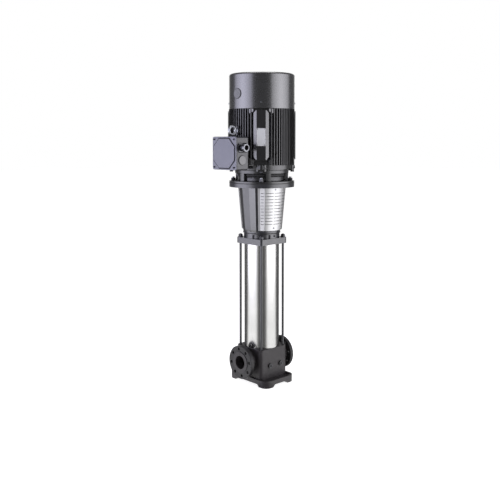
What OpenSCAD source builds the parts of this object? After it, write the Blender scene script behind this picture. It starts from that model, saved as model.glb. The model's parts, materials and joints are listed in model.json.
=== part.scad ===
// Vertical in-line multistage centrifugal pump with a standard flanged motor.
// Millimetres. Origin: centre of the foot's resting plane, on the shaft axis.
// +Z is up along the shaft, the suction flange faces -X and the discharge flange +X.

/* [Ports] */
// Bore of the suction and discharge ports
port_bore_d = 80; // [70:1:84]
// Length of the machined bore behind each raised face
port_bore_len = 60; // [40:5:70]
// Distance between the two raised faces
face_to_face = 365; // [355:1:400]
// Height of the port axis above the floor
port_h = 140; // [136:1:160]
// Outer diameter of each loose flange
flange_od = 200; // [194:1:206]
// Thickness of each loose flange
flange_t = 22; // [18:1:26]
// Bolt circle of the loose flanges
flange_pcd = 160; // [156:1:166]
// Number of holes in each loose flange
flange_holes = 8; // [4:4:8]
// Diameter of the flange bolt holes
flange_hole_d = 18; // [14:1:18]
// Angle that the loose flanges are turned round their necks
flange_turn = 9; // [-22:1:22]
// Outer diameter of the neck that each loose flange rides on
neck_od = 125; // [118:1:127]
// How far the raised face stands in front of the loose flange
raised_face_h = 3; // [2:0.5:4]
// Thickness of the retaining ring that holds a loose flange
retaining_ring_t = 6; // [4:0.5:8]
// Radial width of the retaining ring
retaining_ring_w = 7; // [5:0.5:8]

/* [Foot and base] */
// Length of the foot along the pipe
foot_x = 248; // [244:1:270]
// Width of the foot across the pipe
foot_y = 331; // [320:1:350]
// Corner radius of the foot
foot_corner_r = 41; // [30:1:45]
// Height of the rim round the foot
foot_edge_h = 42; // [38:1:46]
// Height of the gutter's floor between the rim and the casing
foot_gutter_h = 30; // [26:1:34]
// Width of the level rim round the foot
foot_rim = 14; // [8:1:18]
// Height of the hollow between the corner pads
foot_arch_h = 15; // [8:1:18]
// Length of each corner pad along both sides
foot_pad = 62; // [56:1:70]
// Distance between the anchor holes along the pipe
anchor_x = 190; // [180:1:196]
// Distance between the anchor holes across the pipe
anchor_y = 266; // [256:1:276]
// Diameter of the anchor holes
anchor_d = 14; // [12:1:18]
// Length of the casing block along the pipe
block_x = 226; // [222:1:240]
// Width of the casing block across the pipe
block_y = 220; // [219:1:240]
// Corner radius of the casing block
block_corner_r = 24; // [18:1:26]
// Metal between the suction bore and the stack seat
seat_wall = 10; // [8:1:14]
// Depth of the stack seat below the casing's top face
seat_depth = 27; // [24:1:34]
// Inner radius of the suction chamber under the stages
suction_chamber_r = 62; // [58:1:64]
// Wall round the suction chamber
chamber_wall = 10; // [8:1:12]
// Wall round the suction passage where it crosses the return channel
tunnel_wall = 8; // [6:1:10]
// Diameter of the pipe plugs in the casing
plug_d = 21; // [17:1:26]
// Diameter of a pipe plug's head
plug_head_d = 30; // [28:1:34]
// Place along the pipe of the plug on the suction side
plug_suction_x = -35; // [-48:1:-28]
// Place along the pipe of the plug on the discharge side
plug_discharge_x = 53; // [38:1:58]
// Height of the plugs above the floor
plug_h = 113; // [106:1:122]

/* [Sleeve and stay bolts] */
// Outer diameter of the outer sleeve
sleeve_od = 215; // [211:0.5:217]
// Wall of the outer sleeve
sleeve_wall = 3; // [2:0.5:4]
// Height of the spigots that centre the sleeve
spigot_h = 18; // [14:1:22]
// Cord diameter of the sleeve seals
seal_cord_d = 4; // [3:0.25:5]
// Distance from the axis to a stay bolt, measured along each side
stay_offset = 92.3; // [91:0.1:94]
// Thread diameter of the stay bolts
stay_d = 16; // [14:1:18]
// Shank diameter of the stay bolts
stay_shank_d = 14.5; // [12:0.5:16]
// Thread length of the stay bolts in the casing
stay_thread = 34; // [26:1:40]

/* [Stages] */
// Number of stages
stages = 8; // [4:1:10]
// Height of one stage
stage_pitch = 72; // [68:1:78]
// Outer radius of the stage chambers
chamber_r = 94; // [90:0.5:96]
// Sheet thickness of the chambers and impellers
stage_sheet = 2.5; // [2:0.25:3]
// Outer radius of the impellers
impeller_r = 80; // [76:1:82]
// Outer radius of the impeller eye
eye_r = 38.5; // [36:0.5:42]
// Outlet width between the impeller shrouds
impeller_w = 15; // [12:0.5:17]
// Number of impeller vanes
impeller_vanes = 6; // [5:1:7]
// Number of guide vanes in a chamber
guide_vanes = 7; // [6:1:9]
// Height of the suction part under the first stage
inlet_part_h = 38; // [34:1:44]
// Height of the discharge part above the last stage
discharge_h = 30; // [26:1:36]
// Height of the clamp ring that presses the stack together
clamp_h = 18; // [18:1:24]
// Diameter of the pump shaft
shaft_d = 32; // [28:0.5:34]
// Wall of the spacer sleeves between the impellers
spacer_wall = 5; // [4:0.5:6]

/* [Pump head and seal] */
// Width of the pump head's square flange
head_w = 226; // [224:1:232]
// Corner radius of the pump head's flange
lug_r = 21; // [18:1:26]
// Thickness of the pump head's flange
head_flange_h = 36; // [30:1:42]
// Height of the neck above the head's flange
head_neck_h = 32; // [30:1:40]
// Radius of the head's neck
head_neck_r = 110; // [109:0.5:112]
// Distance from the axis to the flats behind the stay nuts
neck_flat = 95; // [92:1:99]
// Height of the full ring at the top of the neck
neck_rim_h = 6; // [4:1:8]
// Radius of the seal chamber
seal_chamber_r = 38; // [34:1:40]
// Radius of the seal's gland plate
gland_plate_r = 60; // [58:1:64]
// Thickness of the seal's gland plate
gland_plate_t = 12; // [10:1:16]
// Bolt circle radius of the gland plate
gland_screw_r = 49; // [48:1:51]
// Thread diameter of the vent plug
vent_d = 21; // [17:1:24]
// Width across the flats of the vent plug
vent_af = 27; // [24:1:30]
// Spindle diameter of the vent screw
vent_screw_d = 6; // [5:0.5:7]

/* [Lantern and guards] */
// Height of the motor lantern
lantern_h = 305; // [290:1:330]
// Outer radius of the lantern at its foot
lantern_foot_r = 114; // [112:0.5:116]
// Outer radius of the lantern at the top of its windows
lantern_top_r = 135; // [130:1:144]
// Wall of the lantern
lantern_wall = 12; // [9:1:14]
// Height of the lantern's foot ring
lantern_foot_h = 17; // [14:1:22]
// Height of the window sills above the lantern's foot
lantern_sill_h = 42; // [36:1:50]
// Height of the ring above the windows
lantern_crown_h = 26; // [22:1:34]
// Thickness of the lantern's top flange
lantern_flange_t = 25; // [20:1:30]
// Half angle of each window
window_half_angle = 50; // [44:1:52]
// Thickness of the guard sheet
guard_t = 1.5; // [1:0.25:2]
// Half angle of a guard from edge to edge
guard_half_angle = 54; // [53:0.5:56]
// Width of a guard's side lips, as an angle
guard_lip_angle = 6; // [5:0.5:7]
// Width of the slanted strips beside the lips, as an angle
guard_ramp_angle = 11; // [9:0.5:13]
// Step from the lantern's wall to a guard's panel
guard_step = 9; // [6:0.5:11]
// Rows of cooling slots in a guard
guard_rows = 11; // [6:1:12]
// Distance between the slot rows
guard_row_pitch = 18.8; // [16:0.2:19]
// Height of one guard slot
guard_slot_h = 3; // [2:0.5:5]
// Width across the bars between slots, as an angle
guard_bar_angle = 3; // [2:0.5:5]

/* [Coupling] */
// Outer diameter of the coupling
coupling_d = 100; // [94:1:108]
// Length of the coupling
coupling_len = 180; // [160:1:190]
// Distance from the coupling's top to the motor flange
coupling_drop = 42; // [36:1:50]
// Gap between the two coupling halves
coupling_split = 3; // [2:0.5:4]
// Thread diameter of the coupling screws
coupling_screw_d = 10; // [8:1:10]
// Space between the ends of the two shafts
shaft_end_gap = 6; // [4:1:10]

/* [Motor] */
// Outer diameter of the motor flange
motor_flange_od = 400; // [396:1:410]
// Thickness of the motor flange
motor_flange_t = 12; // [10:1:16]
// Bolt circle of the motor flange
motor_pcd = 350; // [346:1:354]
// Thread diameter of the motor studs
motor_stud_d = 16; // [14:1:18]
// Spigot diameter of the motor flange
motor_spigot_d = 300; // [296:1:304]
// Height of the motor flange's spigot
motor_spigot_h = 5; // [4:0.5:6]
// Diameter of the motor shaft extension
motor_shaft_d = 55; // [48:1:58]
// Length of the motor shaft extension
motor_shaft_len = 110; // [105:1:115]
// Height of the open drive end shield
shield_h = 86; // [82:1:96]
// Outer radius of the ring on top of the open shield
shield_ring_r = 165; // [160:1:168]
// Number of ribs on the open shield
shield_ribs = 6; // [4:1:8]
// Radial thickness of a shield rib
shield_rib_t = 14; // [10:1:18]
// Width of a shield rib round the shield
shield_rib_w = 30; // [24:1:36]
// Length of the stator frame
frame_h = 361; // [350:1:380]
// Inner radius of the stator frame
frame_bore_r = 165; // [162:0.5:167]
// Wall of the stator frame
frame_wall = 10; // [8:1:12]
// Radius that the cooling fins reach
fin_reach_r = 207; // [203:1:210]
// Distance between the cooling fins
fin_pitch = 16; // [15:0.5:17]
// Thickness of a cooling fin
fin_t = 4.5; // [3.5:0.25:5.5]
// Number of fins on each side
fin_count = 13; // [9:2:13]
// Height of the finless ring at the frame's foot
frame_foot_h = 23; // [18:1:28]
// Width of the flat face on each corner strip
strip_w = 54; // [52:1:60]
// Width of the chamfers beside the strip's face
strip_chamfer = 14; // [10:1:15]
// Width of the bare nameplate
plate_w = 52; // [40:1:52]
// Height of the bare nameplate
plate_h = 104; // [90:1:120]
// Length of the stator and rotor laminations
core_len = 240; // [220:1:250]
// Radius of the rotor laminations
rotor_r = 95; // [88:0.5:98]
// Air gap between rotor and stator
air_gap = 1; // [0.8:0.1:1.5]

/* [Motor bearings] */
// Bore of the drive end bearing
drive_bearing_bore = 60; // [58:1:62]
// Outer diameter of the drive end bearing
drive_bearing_od = 130; // [126:1:134]
// Width of the drive end bearing
drive_bearing_w = 31; // [28:1:32]
// Bore of the fan end bearing
fan_bearing_bore = 60; // [56:1:62]
// Outer diameter of the fan end bearing
fan_bearing_od = 110; // [106:1:114]
// Width of the fan end bearing
fan_bearing_w = 22; // [20:1:24]
// Number of balls in a bearing
ball_count = 8; // [7:1:9]

/* [Fan and cover] */
// Outer radius of the fan cover
cover_r = 201; // [199:0.5:204]
// Height of the fan cover
cover_h = 214; // [200:1:230]
// Sheet thickness of the fan cover
cover_t = 2; // [1.5:0.25:3]
// Rounding of the fan cover's top edge
cover_edge_r = 14; // [10:1:18]
// Radius of the cooling fan
fan_r = 165; // [150:1:175]
// Number of fan blades
fan_blades = 8; // [6:1:10]
// Width of the fan blades
fan_blade_h = 46; // [36:1:54]
// Diameter of the round plug in the fan cover
cover_plug_d = 58; // [50:1:62]
// Height of the round plug above the cover's lower edge
cover_plug_h = 89; // [80:1:110]

/* [Terminal box] */
// Width of the terminal box across the motor
box_w = 206; // [200:1:212]
// Height of the terminal box
box_h = 194; // [188:1:200]
// Distance from the motor axis to the cover's face
box_reach = 310; // [306:1:322]
// Height of the box's centre above the motor flange
box_centre_h = 182; // [178:1:190]
// Wall of the terminal box
box_wall = 6; // [5:0.5:8]
// Thickness of the cover's plate
box_cover_t = 8; // [6:1:10]
// Height of the cover's raised panel
box_panel_h = 4; // [3:0.5:5]
// Size of the panel's cut corners
box_panel_cut = 46; // [40:1:50]
// Width of the groove round the panel
box_groove_w = 6; // [4:0.5:7]
// Depth of the groove round the panel
box_groove_d = 4; // [2:0.5:5]
// Thread diameter of the cable gland
gland_thread_d = 40; // [36:1:42]
// Width across the flats of the cable gland
gland_af = 46; // [44:1:48]
// Bore of the cable gland
gland_bore_d = 30; // [24:1:31]
// Length of the cable gland outside the box
gland_len = 60; // [50:1:64]

/* [Lifting eyes] */
// Inner diameter of a lifting eye's ring
eye_ring_bore = 35; // [32:1:38]
// Section diameter of a lifting eye's ring
eye_ring_section = 14; // [12:0.5:15]
// Height of the eyes above the motor flange
eye_h = 316; // [312:1:330]

/* [Clearances] */
// Radial gap between a fixed hole and what it holds
fit_gap = 0.05; // [0.03:0.01:0.1]
// Gap between turning and standing faces
run_gap = 0.4; // [0.3:0.05:0.6]

/* [Hidden] */
$fn = 48;

// Overlap that keeps cutters clear of the faces they cut
eps = 1;
hull_fn = 32;
cast_iron = "#3a383d";
motor_black = "#2b2b2e";
steel = "#c9ccd1";
zinc = "#b9bcc0";

// Heights along the shaft, from the floor up
seat_z = port_h + port_bore_d / 2 + seat_wall;
block_top = seat_z + seat_depth;
stack_z = seat_z + inlet_part_h;
discharge_z = stack_z + stages * stage_pitch;
clamp_z = discharge_z + discharge_h;
head_z = clamp_z + clamp_h;
head_flange_top = head_z + head_flange_h;
head_top = head_flange_top + head_neck_h;
lantern_top = head_top + lantern_h;
window_z = head_top + lantern_sill_h;
lantern_flange_z = lantern_top - lantern_flange_t;
window_top = lantern_flange_z - lantern_crown_h;
motor_flange_top = lantern_top + motor_flange_t;
frame_z = lantern_top + shield_h;
frame_top = frame_z + frame_h;
cover_top = frame_top + cover_h;

// Base casting
sleeve_r = sleeve_od / 2;
spigot_r = sleeve_r - sleeve_wall - 0.3;
cavity_r = spigot_r - 5;
cavity_floor = port_h - port_bore_d / 2 - tunnel_wall / 2;
central_wall_r = suction_chamber_r + chamber_wall;
flange_face_x = face_to_face / 2 - raised_face_h;
flange_back_x = flange_face_x - flange_t;
neck_r = neck_od / 2;
neck_shoulder = 4;
passage_step = 2;
groove_depth = 3.5;
plug_depth = 14;
washer_h = 1.5;
seal_squeeze = 0.5;

// Stay bolts and nuts
nut_af = 24;
nut_h = 13;
washer_r = 15;
washer_t = 3;
stud_proud = 4;
stud_chamfer = 1.5;
stay_hole_gap = 1;

// Stages
shaft_r = shaft_d / 2;
spacer_r = shaft_r + spacer_wall;
neck_ring_w = 6;
plate_z = stage_sheet;
impeller_z = 12;
shroud_top = impeller_z + 2 * stage_sheet + impeller_w;
guide_z = shroud_top + 4;
hub_r = spacer_r + 2;
hub_h = shroud_top + 2;
shaft_bottom = seat_z + 4;
nut_len = 12;

// Shaft ends and coupling
motor_shaft_end = lantern_top - motor_shaft_len;
pump_shaft_top = motor_shaft_end - shaft_end_gap;
coupling_top = lantern_top - coupling_drop;
coupling_z = coupling_top - coupling_len;
coupling_r = coupling_d / 2;
motor_shaft_r = motor_shaft_d / 2;
coupling_screw_x = (motor_shaft_r + coupling_r) / 2 - 0.5;

// Shaft seal
seal_r = shaft_r + 10;
seal_face_z = head_top - 12;

// Lantern
cone_angle = atan((lantern_top_r - lantern_foot_r) / (window_top - head_top - 8));

// Motor
shield_boss_top = lantern_top + 37;
shield_waist_top = lantern_top + 56;
shield_ring_top = lantern_top + 77;
shield_hub_r = drive_bearing_od / 2 + 13;
drive_bearing_z = shield_boss_top + 1;
frame_r = frame_bore_r + frame_wall;
ear_r = 198;
ear_w = 62;
ear_screw_r = 187;
ear_screw_d = 12;
spigot_t = 14;
spigot_len = 8;
core_z = frame_z + (frame_h - core_len) / 2;
core_top = core_z + core_len;
fan_bearing_z = frame_top + 2;
fan_end_r = 25;
fan_z = frame_top + 52;
shaft_top = fan_z + 68;
boss_top = frame_top + 48;
cover_screw_h = 36;
grille_rings = 8;
grille_bar = 6;
grille_slot = 11;
grille_spokes = 8;

// Terminal box
box_z = lantern_top + box_centre_h;
pad_x = fin_reach_r + 5;
box_side = box_w / 2;
pocket_depth = 22;
pocket_wall = 6;
gland_x = 258;
gland_z = box_z + 33;
blank_z = box_z - 40;
blank_d = 52;
box_screw_y = 87;
box_screw_z = 82;
box_post_r = 13;

// Lifting eyes
eye_z = lantern_top + eye_h;
eye_seat = fin_reach_r + 1;
eye_shank_r = 8;
eye_collar_r = 17;
eye_collar_h = 6;
eye_ring_r = (eye_ring_bore + eye_ring_section) / 2;

// Plain shapes

module rounded_rect(w, d, r) {
    square([w, d - 2 * r], center = true);
    square([w - 2 * r, d], center = true);
    for (sx = [-1, 1], sy = [-1, 1])
        translate([sx * (w / 2 - r), sy * (d / 2 - r)]) circle(r);
}

module annulus(r_out, r_in) {
    difference() {
        circle(r_out);
        circle(r_in);
    }
}

module tube(r_out, r_in, h) {
    difference() {
        cylinder(r = r_out, h = h);
        translate([0, 0, -eps]) cylinder(r = r_in, h = h + 2 * eps);
    }
}

// Puts its children at count places round the axis
module around(count, start = 0) {
    for (i = [0 : count - 1]) rotate(start + i * 360 / count) children();
}

// Puts its children at the four corners of a rectangle
module at_corners(dx, dy) {
    for (sx = [-1, 1], sy = [-1, 1]) translate([sx * dx, sy * dy, 0]) children();
}

module hex_prism(af, h) {
    cylinder(r = af / sqrt(3), h = h, $fn = 6);
}

// A flat wedge from the axis outwards, centred on the angle mid
module wedge(r, mid, half) {
    far = r / cos(half);
    polygon([[0, 0], far * [cos(mid - half), sin(mid - half)], far * [cos(mid + half), sin(mid + half)]]);
}

// A cylinder along +X, -X, +Y or -Y, from distance a to distance b
module radial_cylinder(angle, a, b, r) {
    rotate(angle) translate([a, 0, 0]) rotate([0, 90, 0]) cylinder(r = r, h = b - a);
}

module hex_nut(d, af, h) {
    difference() {
        hex_prism(af, h);
        translate([0, 0, -eps]) cylinder(d = d + 2 * fit_gap, h = h + 2 * eps);
    }
}

// Socket head screw with its head's seat at z = 0 and its shank pointing down
module cap_screw(d, length) {
    difference() {
        union() {
            cylinder(d = 1.5 * d, h = d);
            translate([0, 0, -length]) cylinder(d = d, h = length + eps);
        }
        translate([0, 0, d / 2]) hex_prism(0.8 * d, d);
    }
}

// Hexagon head screw with its head's seat at z = 0 and its shank pointing down
module hex_screw(d, length) {
    hex_prism(1.6 * d, 0.65 * d);
    translate([0, 0, -length]) cylinder(d = d, h = length + eps);
}

// Base casting

module foot() {
    difference() {
        linear_extrude(foot_edge_h) rounded_rect(foot_x, foot_y, foot_corner_r);
        // Gutter that shows on both sides of the casing
        translate([0, 0, foot_gutter_h]) linear_extrude(foot_edge_h)
            rounded_rect(foot_x - 2 * foot_rim, foot_y - 2 * foot_rim, foot_corner_r - foot_rim);
        arch(foot_x, foot_y);
        rotate(90) arch(foot_y, foot_x);
    }
}

// Hollow under the foot that runs along its length, between the corner pads
module arch(length, width) {
    low = width / 2 - foot_pad;
    high = low - foot_arch_h;
    rotate([90, 0, 90]) linear_extrude(length + 2 * eps, center = true)
        polygon([[-low - eps, -eps], [low + eps, -eps], [high, foot_arch_h], [-high, foot_arch_h]]);
}

module port_neck(side) {
    translate([0, 0, port_h]) rotate([0, side * 90, 0]) {
        cylinder(r = neck_r, h = face_to_face / 2);
        cylinder(r = neck_r + neck_shoulder, h = flange_back_x - run_gap);
    }
}

// Machined bore behind a raised face, with a wider cast passage further in
module port_passage(side, start) {
    bore_start = face_to_face / 2 - port_bore_len;
    translate([0, 0, port_h]) rotate([0, side * 90, 0]) {
        translate([0, 0, start]) cylinder(r = port_bore_d / 2 + passage_step, h = bore_start - start);
        translate([0, 0, bore_start - eps]) cylinder(d = port_bore_d, h = port_bore_len + 2 * eps);
    }
}

module retaining_groove(side) {
    translate([0, 0, port_h]) rotate([0, side * 90, 0])
        translate([0, 0, flange_face_x - retaining_ring_t])
            tube(neck_r + eps, neck_r - groove_depth, retaining_ring_t);
}

// Groove round a spigot for a sleeve seal, centred on its height
module seal_groove() {
    translate([0, 0, -seal_cord_d / 2 - seal_squeeze])
        tube(spigot_r + eps, spigot_r - seal_cord_d + seal_squeeze, seal_cord_d + 2 * seal_squeeze);
}

module plug_holes() {
    for (x = [plug_suction_x, plug_discharge_x], side = [-1, 1])
        translate([x, side * (block_y / 2 + eps), plug_h]) rotate([side * 90, 0, 0])
            cylinder(d = plug_d + 2 * fit_gap, h = block_y / 2 - sqrt(pow(cavity_r, 2) - pow(x, 2)) + 3 * eps);
}

module base() {
    color(cast_iron) difference() {
        union() {
            foot();
            translate([0, 0, foot_gutter_h - eps]) linear_extrude(block_top - foot_gutter_h + eps)
                rounded_rect(block_x, block_y, block_corner_r);
            port_neck(-1);
            port_neck(1);
            translate([0, 0, block_top - eps]) cylinder(r = spigot_r, h = spigot_h + eps);
        }
        // Return channel round the suction chamber, crossed by the suction passage
        difference() {
            translate([0, 0, cavity_floor])
                tube(cavity_r, central_wall_r, block_top + spigot_h + eps - cavity_floor);
            translate([0, 0, port_h]) rotate([0, -90, 0])
                cylinder(d = port_bore_d + 2 * tunnel_wall, h = block_x / 2);
        }
        // Suction chamber and the seat that the stack stands on
        translate([0, 0, cavity_floor]) cylinder(r = suction_chamber_r, h = block_top);
        translate([0, 0, seat_z]) cylinder(r = central_wall_r + eps, h = block_top);
        port_passage(-1, 0);
        port_passage(1, (central_wall_r + cavity_r) / 2);
        retaining_groove(-1);
        retaining_groove(1);
        // Hollow under the casing floor
        translate([0, 0, -eps]) linear_extrude(cavity_floor - 2 * chamber_wall + eps)
            rounded_rect(block_x - 80, block_y - 80, block_corner_r);
        translate([0, 0, -eps]) at_corners(anchor_x / 2, anchor_y / 2)
            cylinder(d = anchor_d, h = foot_edge_h + 2 * eps);
        translate([0, 0, block_top - stay_thread]) at_corners(stay_offset, stay_offset)
            cylinder(d = stay_d + 2 * fit_gap, h = stay_thread + eps);
        translate([0, 0, block_top + spigot_h / 2]) seal_groove();
        plug_holes();
    }
}

// Pipe plug with a sealing washer under its head, along +Y
module pipe_plug() {
    rotate([-90, 0, 0]) {
        translate([0, 0, -plug_depth]) cylinder(d = plug_d, h = plug_depth + washer_h + eps);
        difference() {
            translate([0, 0, washer_h]) cylinder(d = plug_head_d, h = 7);
            translate([0, 0, 4]) hex_prism(10, 10);
        }
    }
    rotate([-90, 0, 0]) tube(plug_head_d / 2 - 1, plug_d / 2 + fit_gap, washer_h - fit_gap);
}

module pipe_plugs() {
    color(cast_iron) for (x = [plug_suction_x, plug_discharge_x]) {
        translate([x, block_y / 2, plug_h]) pipe_plug();
        translate([x, -block_y / 2, plug_h]) mirror([0, 1, 0]) pipe_plug();
    }
    // Plug in the front of the pump head
    color(cast_iron) translate([0, 0, vent_z]) difference() {
        radial_cylinder(-90, head_neck_r - plug_depth, head_neck_r + 2, head_plug_d / 2);
        translate([0, -head_neck_r + 3, 0]) rotate([90, 0, 0]) hex_prism(6, 10);
    }
}

// Loose flange in its own frame: the face looks along +Z from z = 0
module loose_flange(turn) {
    translate([0, 0, -flange_t]) difference() {
        cylinder(d = flange_od, h = flange_t);
        translate([0, 0, -eps]) cylinder(r = neck_r + run_gap, h = flange_t + 2 * eps);
        translate([0, 0, flange_t - retaining_ring_t - run_gap])
            cylinder(r = neck_r - groove_depth + retaining_ring_w + run_gap, h = flange_t);
        around(flange_holes, turn) translate([flange_pcd / 2, 0, -eps])
            cylinder(d = flange_hole_d, h = flange_t + 2 * eps);
    }
}

module at_port(side) {
    translate([side * flange_face_x, 0, port_h]) rotate([0, side * 90, 0]) children();
}

module inlet_flange() {
    color(cast_iron) at_port(-1) loose_flange(flange_turn);
}

module outlet_flange() {
    color(cast_iron) at_port(1) loose_flange(-flange_turn);
}

// Split rings that sit in the neck grooves and hold the loose flanges
module flange_rings() {
    color(cast_iron) for (side = [-1, 1]) at_port(side)
        translate([0, 0, fit_gap - retaining_ring_t]) difference() {
            tube(neck_r - groove_depth + retaining_ring_w, neck_r - groove_depth + fit_gap,
                retaining_ring_t - 2 * fit_gap);
            translate([0, -4, -eps]) cube([flange_od, 8, retaining_ring_t + 2 * eps]);
        }
}

// Sleeve, seals and stay bolts

module outer_sleeve() {
    color(steel) translate([0, 0, block_top]) tube(sleeve_r, sleeve_r - sleeve_wall, head_z - block_top);
}

module sleeve_seals() {
    groove_r = spigot_r - seal_cord_d + seal_squeeze;
    space = sleeve_r - sleeve_wall - groove_r;
    color("#1b1b1b") for (z = [block_top + spigot_h / 2, head_z - spigot_h / 2])
        translate([0, 0, z]) rotate_extrude() translate([groove_r + space / 2, 0])
            circle(d = space - 2 * fit_gap);
}

module stay_bolts() {
    top = head_flange_top + washer_t + nut_h + stud_proud;
    color("#55565a") at_corners(stay_offset, stay_offset) {
        translate([0, 0, block_top - stay_thread]) cylinder(d = stay_shank_d, h = top - block_top);
        translate([0, 0, block_top - stay_thread]) cylinder(d = stay_d, h = stay_thread - 2);
        translate([0, 0, head_z]) cylinder(d = stay_d, h = top - head_z - stud_chamfer);
        translate([0, 0, top - stud_chamfer]) cylinder(d1 = stay_d, d2 = stay_d - 2 * stud_chamfer, h = stud_chamfer);
    }
}

// Washer and nut of the stay bolts and of the motor studs
module washer_and_nut(d) {
    tube(washer_r, d / 2 + fit_gap, washer_t);
    translate([0, 0, washer_t]) hex_nut(d, nut_af, nut_h);
}

module at_motor_studs() {
    around(4, 45) translate([motor_pcd / 2, 0, 0]) children();
}

module m16_nuts() {
    color("#3d3d40") {
        translate([0, 0, head_flange_top]) at_corners(stay_offset, stay_offset) washer_and_nut(stay_d);
        translate([0, 0, motor_flange_top]) at_motor_studs() washer_and_nut(motor_stud_d);
    }
}

// Pump head

vent_z = head_flange_top + head_neck_h / 2 - 1;
vent_boss_r = vent_af / 2 + 2;
vent_face = head_neck_r + 6;
vent_len = 16;
head_plug_d = 13;

module pump_head() {
    color("#4b4b50") difference() {
        union() {
            translate([0, 0, head_z]) linear_extrude(head_flange_h) rounded_rect(head_w, head_w, lug_r);
            difference() {
                translate([0, 0, head_flange_top - eps]) cylinder(r = head_neck_r, h = head_neck_h + eps);
                around(4, 45) translate([neck_flat, -head_neck_r, head_flange_top])
                    cube([head_neck_r, 2 * head_neck_r, head_neck_h - neck_rim_h]);
            }
            translate([0, 0, head_z - spigot_h]) cylinder(r = spigot_r, h = spigot_h + eps);
            translate([0, 0, vent_z]) radial_cylinder(90, head_neck_r - 20, vent_face, vent_boss_r);
        }
        // Hollow over the clamp ring, and the hollow under the seal
        translate([0, 0, head_z - spigot_h - eps]) cylinder(r = cavity_r, h = spigot_h + eps);
        translate([0, 0, head_z - eps]) cylinder(r = chamber_r - 14, h = 18 + eps);
        cylinder(r = spacer_r + 2, h = head_top);
        translate([0, 0, head_z + 24]) cylinder(r = seal_chamber_r, h = head_top);
        // Round step that marks the joint with the lantern
        translate([0, 0, head_top - 2]) tube(head_neck_r + eps, head_neck_r - 3, 2 + eps);
        translate([0, 0, head_z - spigot_h / 2]) seal_groove();
        translate([0, 0, head_z - eps]) at_corners(stay_offset, stay_offset)
            cylinder(d = stay_d + 2 * stay_hole_gap, h = head_flange_h + 2 * eps);
        around(4, 45) translate([gland_screw_r, 0, head_top - 16]) cylinder(d = 10 + 2 * fit_gap, h = 17);
        translate([0, 0, head_top - 20]) at_lantern_screws()
            cylinder(d = lantern_screw_d + 2 * fit_gap, h = 21);
        translate([0, 0, vent_z]) {
            radial_cylinder(90, vent_face - vent_len - eps, vent_face + eps, vent_d / 2 + fit_gap);
            radial_cylinder(90, seal_chamber_r - 5, vent_face - vent_len, 4);
            radial_cylinder(-90, head_neck_r - plug_depth, head_neck_r + eps, head_plug_d / 2 + fit_gap);
            radial_cylinder(-90, seal_chamber_r - 5, head_neck_r, 4);
        }
    }
}

leak_angle = -79;
// Four screws hold the lantern, two at the foot of each window
lantern_screw_d = 12;
lantern_screw_r = 90;
lantern_screw_angle = 22;

module at_lantern_screws() {
    for (side = [-90, 90], s = [-1, 1])
        rotate(side + s * lantern_screw_angle) translate([lantern_screw_r, 0, 0]) children();
}

// Plug with a vent hole down its middle and a side outlet in its hexagon
module vent_plug() {
    hex_h = 14;
    color(steel) translate([0, 0, vent_z]) difference() {
        union() {
            radial_cylinder(90, vent_face - vent_len, vent_face + eps, vent_d / 2);
            translate([0, vent_face + fit_gap, 0]) rotate([-90, 0, 0]) hex_prism(vent_af, hex_h);
        }
        radial_cylinder(90, vent_face - 4, vent_face + hex_h + eps, vent_screw_d / 2 + fit_gap);
        radial_cylinder(90, vent_face - vent_len - eps, vent_face, 2);
        translate([0, vent_face + 6, 0]) cylinder(r = 1.5, h = vent_af + 2 * eps, center = true);
    }
}

module vent_screw() {
    hex_h = 14;
    color(steel) translate([0, 0, vent_z]) {
        radial_cylinder(90, vent_face - 3, vent_face + hex_h + 4, vent_screw_d / 2);
        translate([0, vent_face + hex_h + run_gap, 0]) rotate([-90, 0, 0]) hex_prism(10, 7);
    }
}

// Shaft and stages

module pump_shaft() {
    color(steel) translate([0, 0, shaft_bottom]) cylinder(r = shaft_r, h = pump_shaft_top - shaft_bottom);
}

module shaft_end_nut() {
    color(steel) translate([0, 0, stack_z - nut_len - fit_gap]) hex_nut(shaft_d, 2 * spacer_r, nut_len);
}

// One vane as a curved strip between two radii
module vane_2d(r_in, r_out, thickness, bend) {
    intersection() {
        annulus(r_out, r_in);
        translate([-bend, r_in * 0.6]) difference() {
            annulus(bend + thickness, bend);
            translate([-2 * bend, -2 * bend]) square([4 * bend, 2 * bend]);
        }
    }
}

module impeller() {
    difference() {
        union() {
            translate([0, 0, impeller_z - 10]) tube(eye_r, eye_r - stage_sheet, 10 + eps);
            translate([0, 0, impeller_z]) tube(impeller_r, eye_r - stage_sheet, stage_sheet);
            translate([0, 0, impeller_z + stage_sheet + impeller_w]) cylinder(r = impeller_r, h = stage_sheet);
            translate([0, 0, impeller_z]) cylinder(r = hub_r, h = hub_h - impeller_z);
            translate([0, 0, impeller_z + stage_sheet / 2]) linear_extrude(impeller_w + stage_sheet)
                around(impeller_vanes) vane_2d(hub_r + 8, impeller_r - eps, 2.5, impeller_r * 0.8);
        }
        translate([0, 0, -eps]) cylinder(r = shaft_r + fit_gap, h = stage_pitch);
    }
}

module impellers() {
    color(steel) for (i = [0 : stages - 1]) translate([0, 0, stack_z + i * stage_pitch]) impeller();
}

module impeller_spacers() {
    gap = 2 * fit_gap;
    color(zinc) {
        translate([0, 0, stack_z]) tube(spacer_r, shaft_r + fit_gap, impeller_z - gap);
        for (i = [0 : stages - 1]) translate([0, 0, stack_z + i * stage_pitch + hub_h + gap])
            tube(spacer_r, shaft_r + fit_gap, stage_pitch + impeller_z - hub_h - 2 * gap);
    }
}

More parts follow.
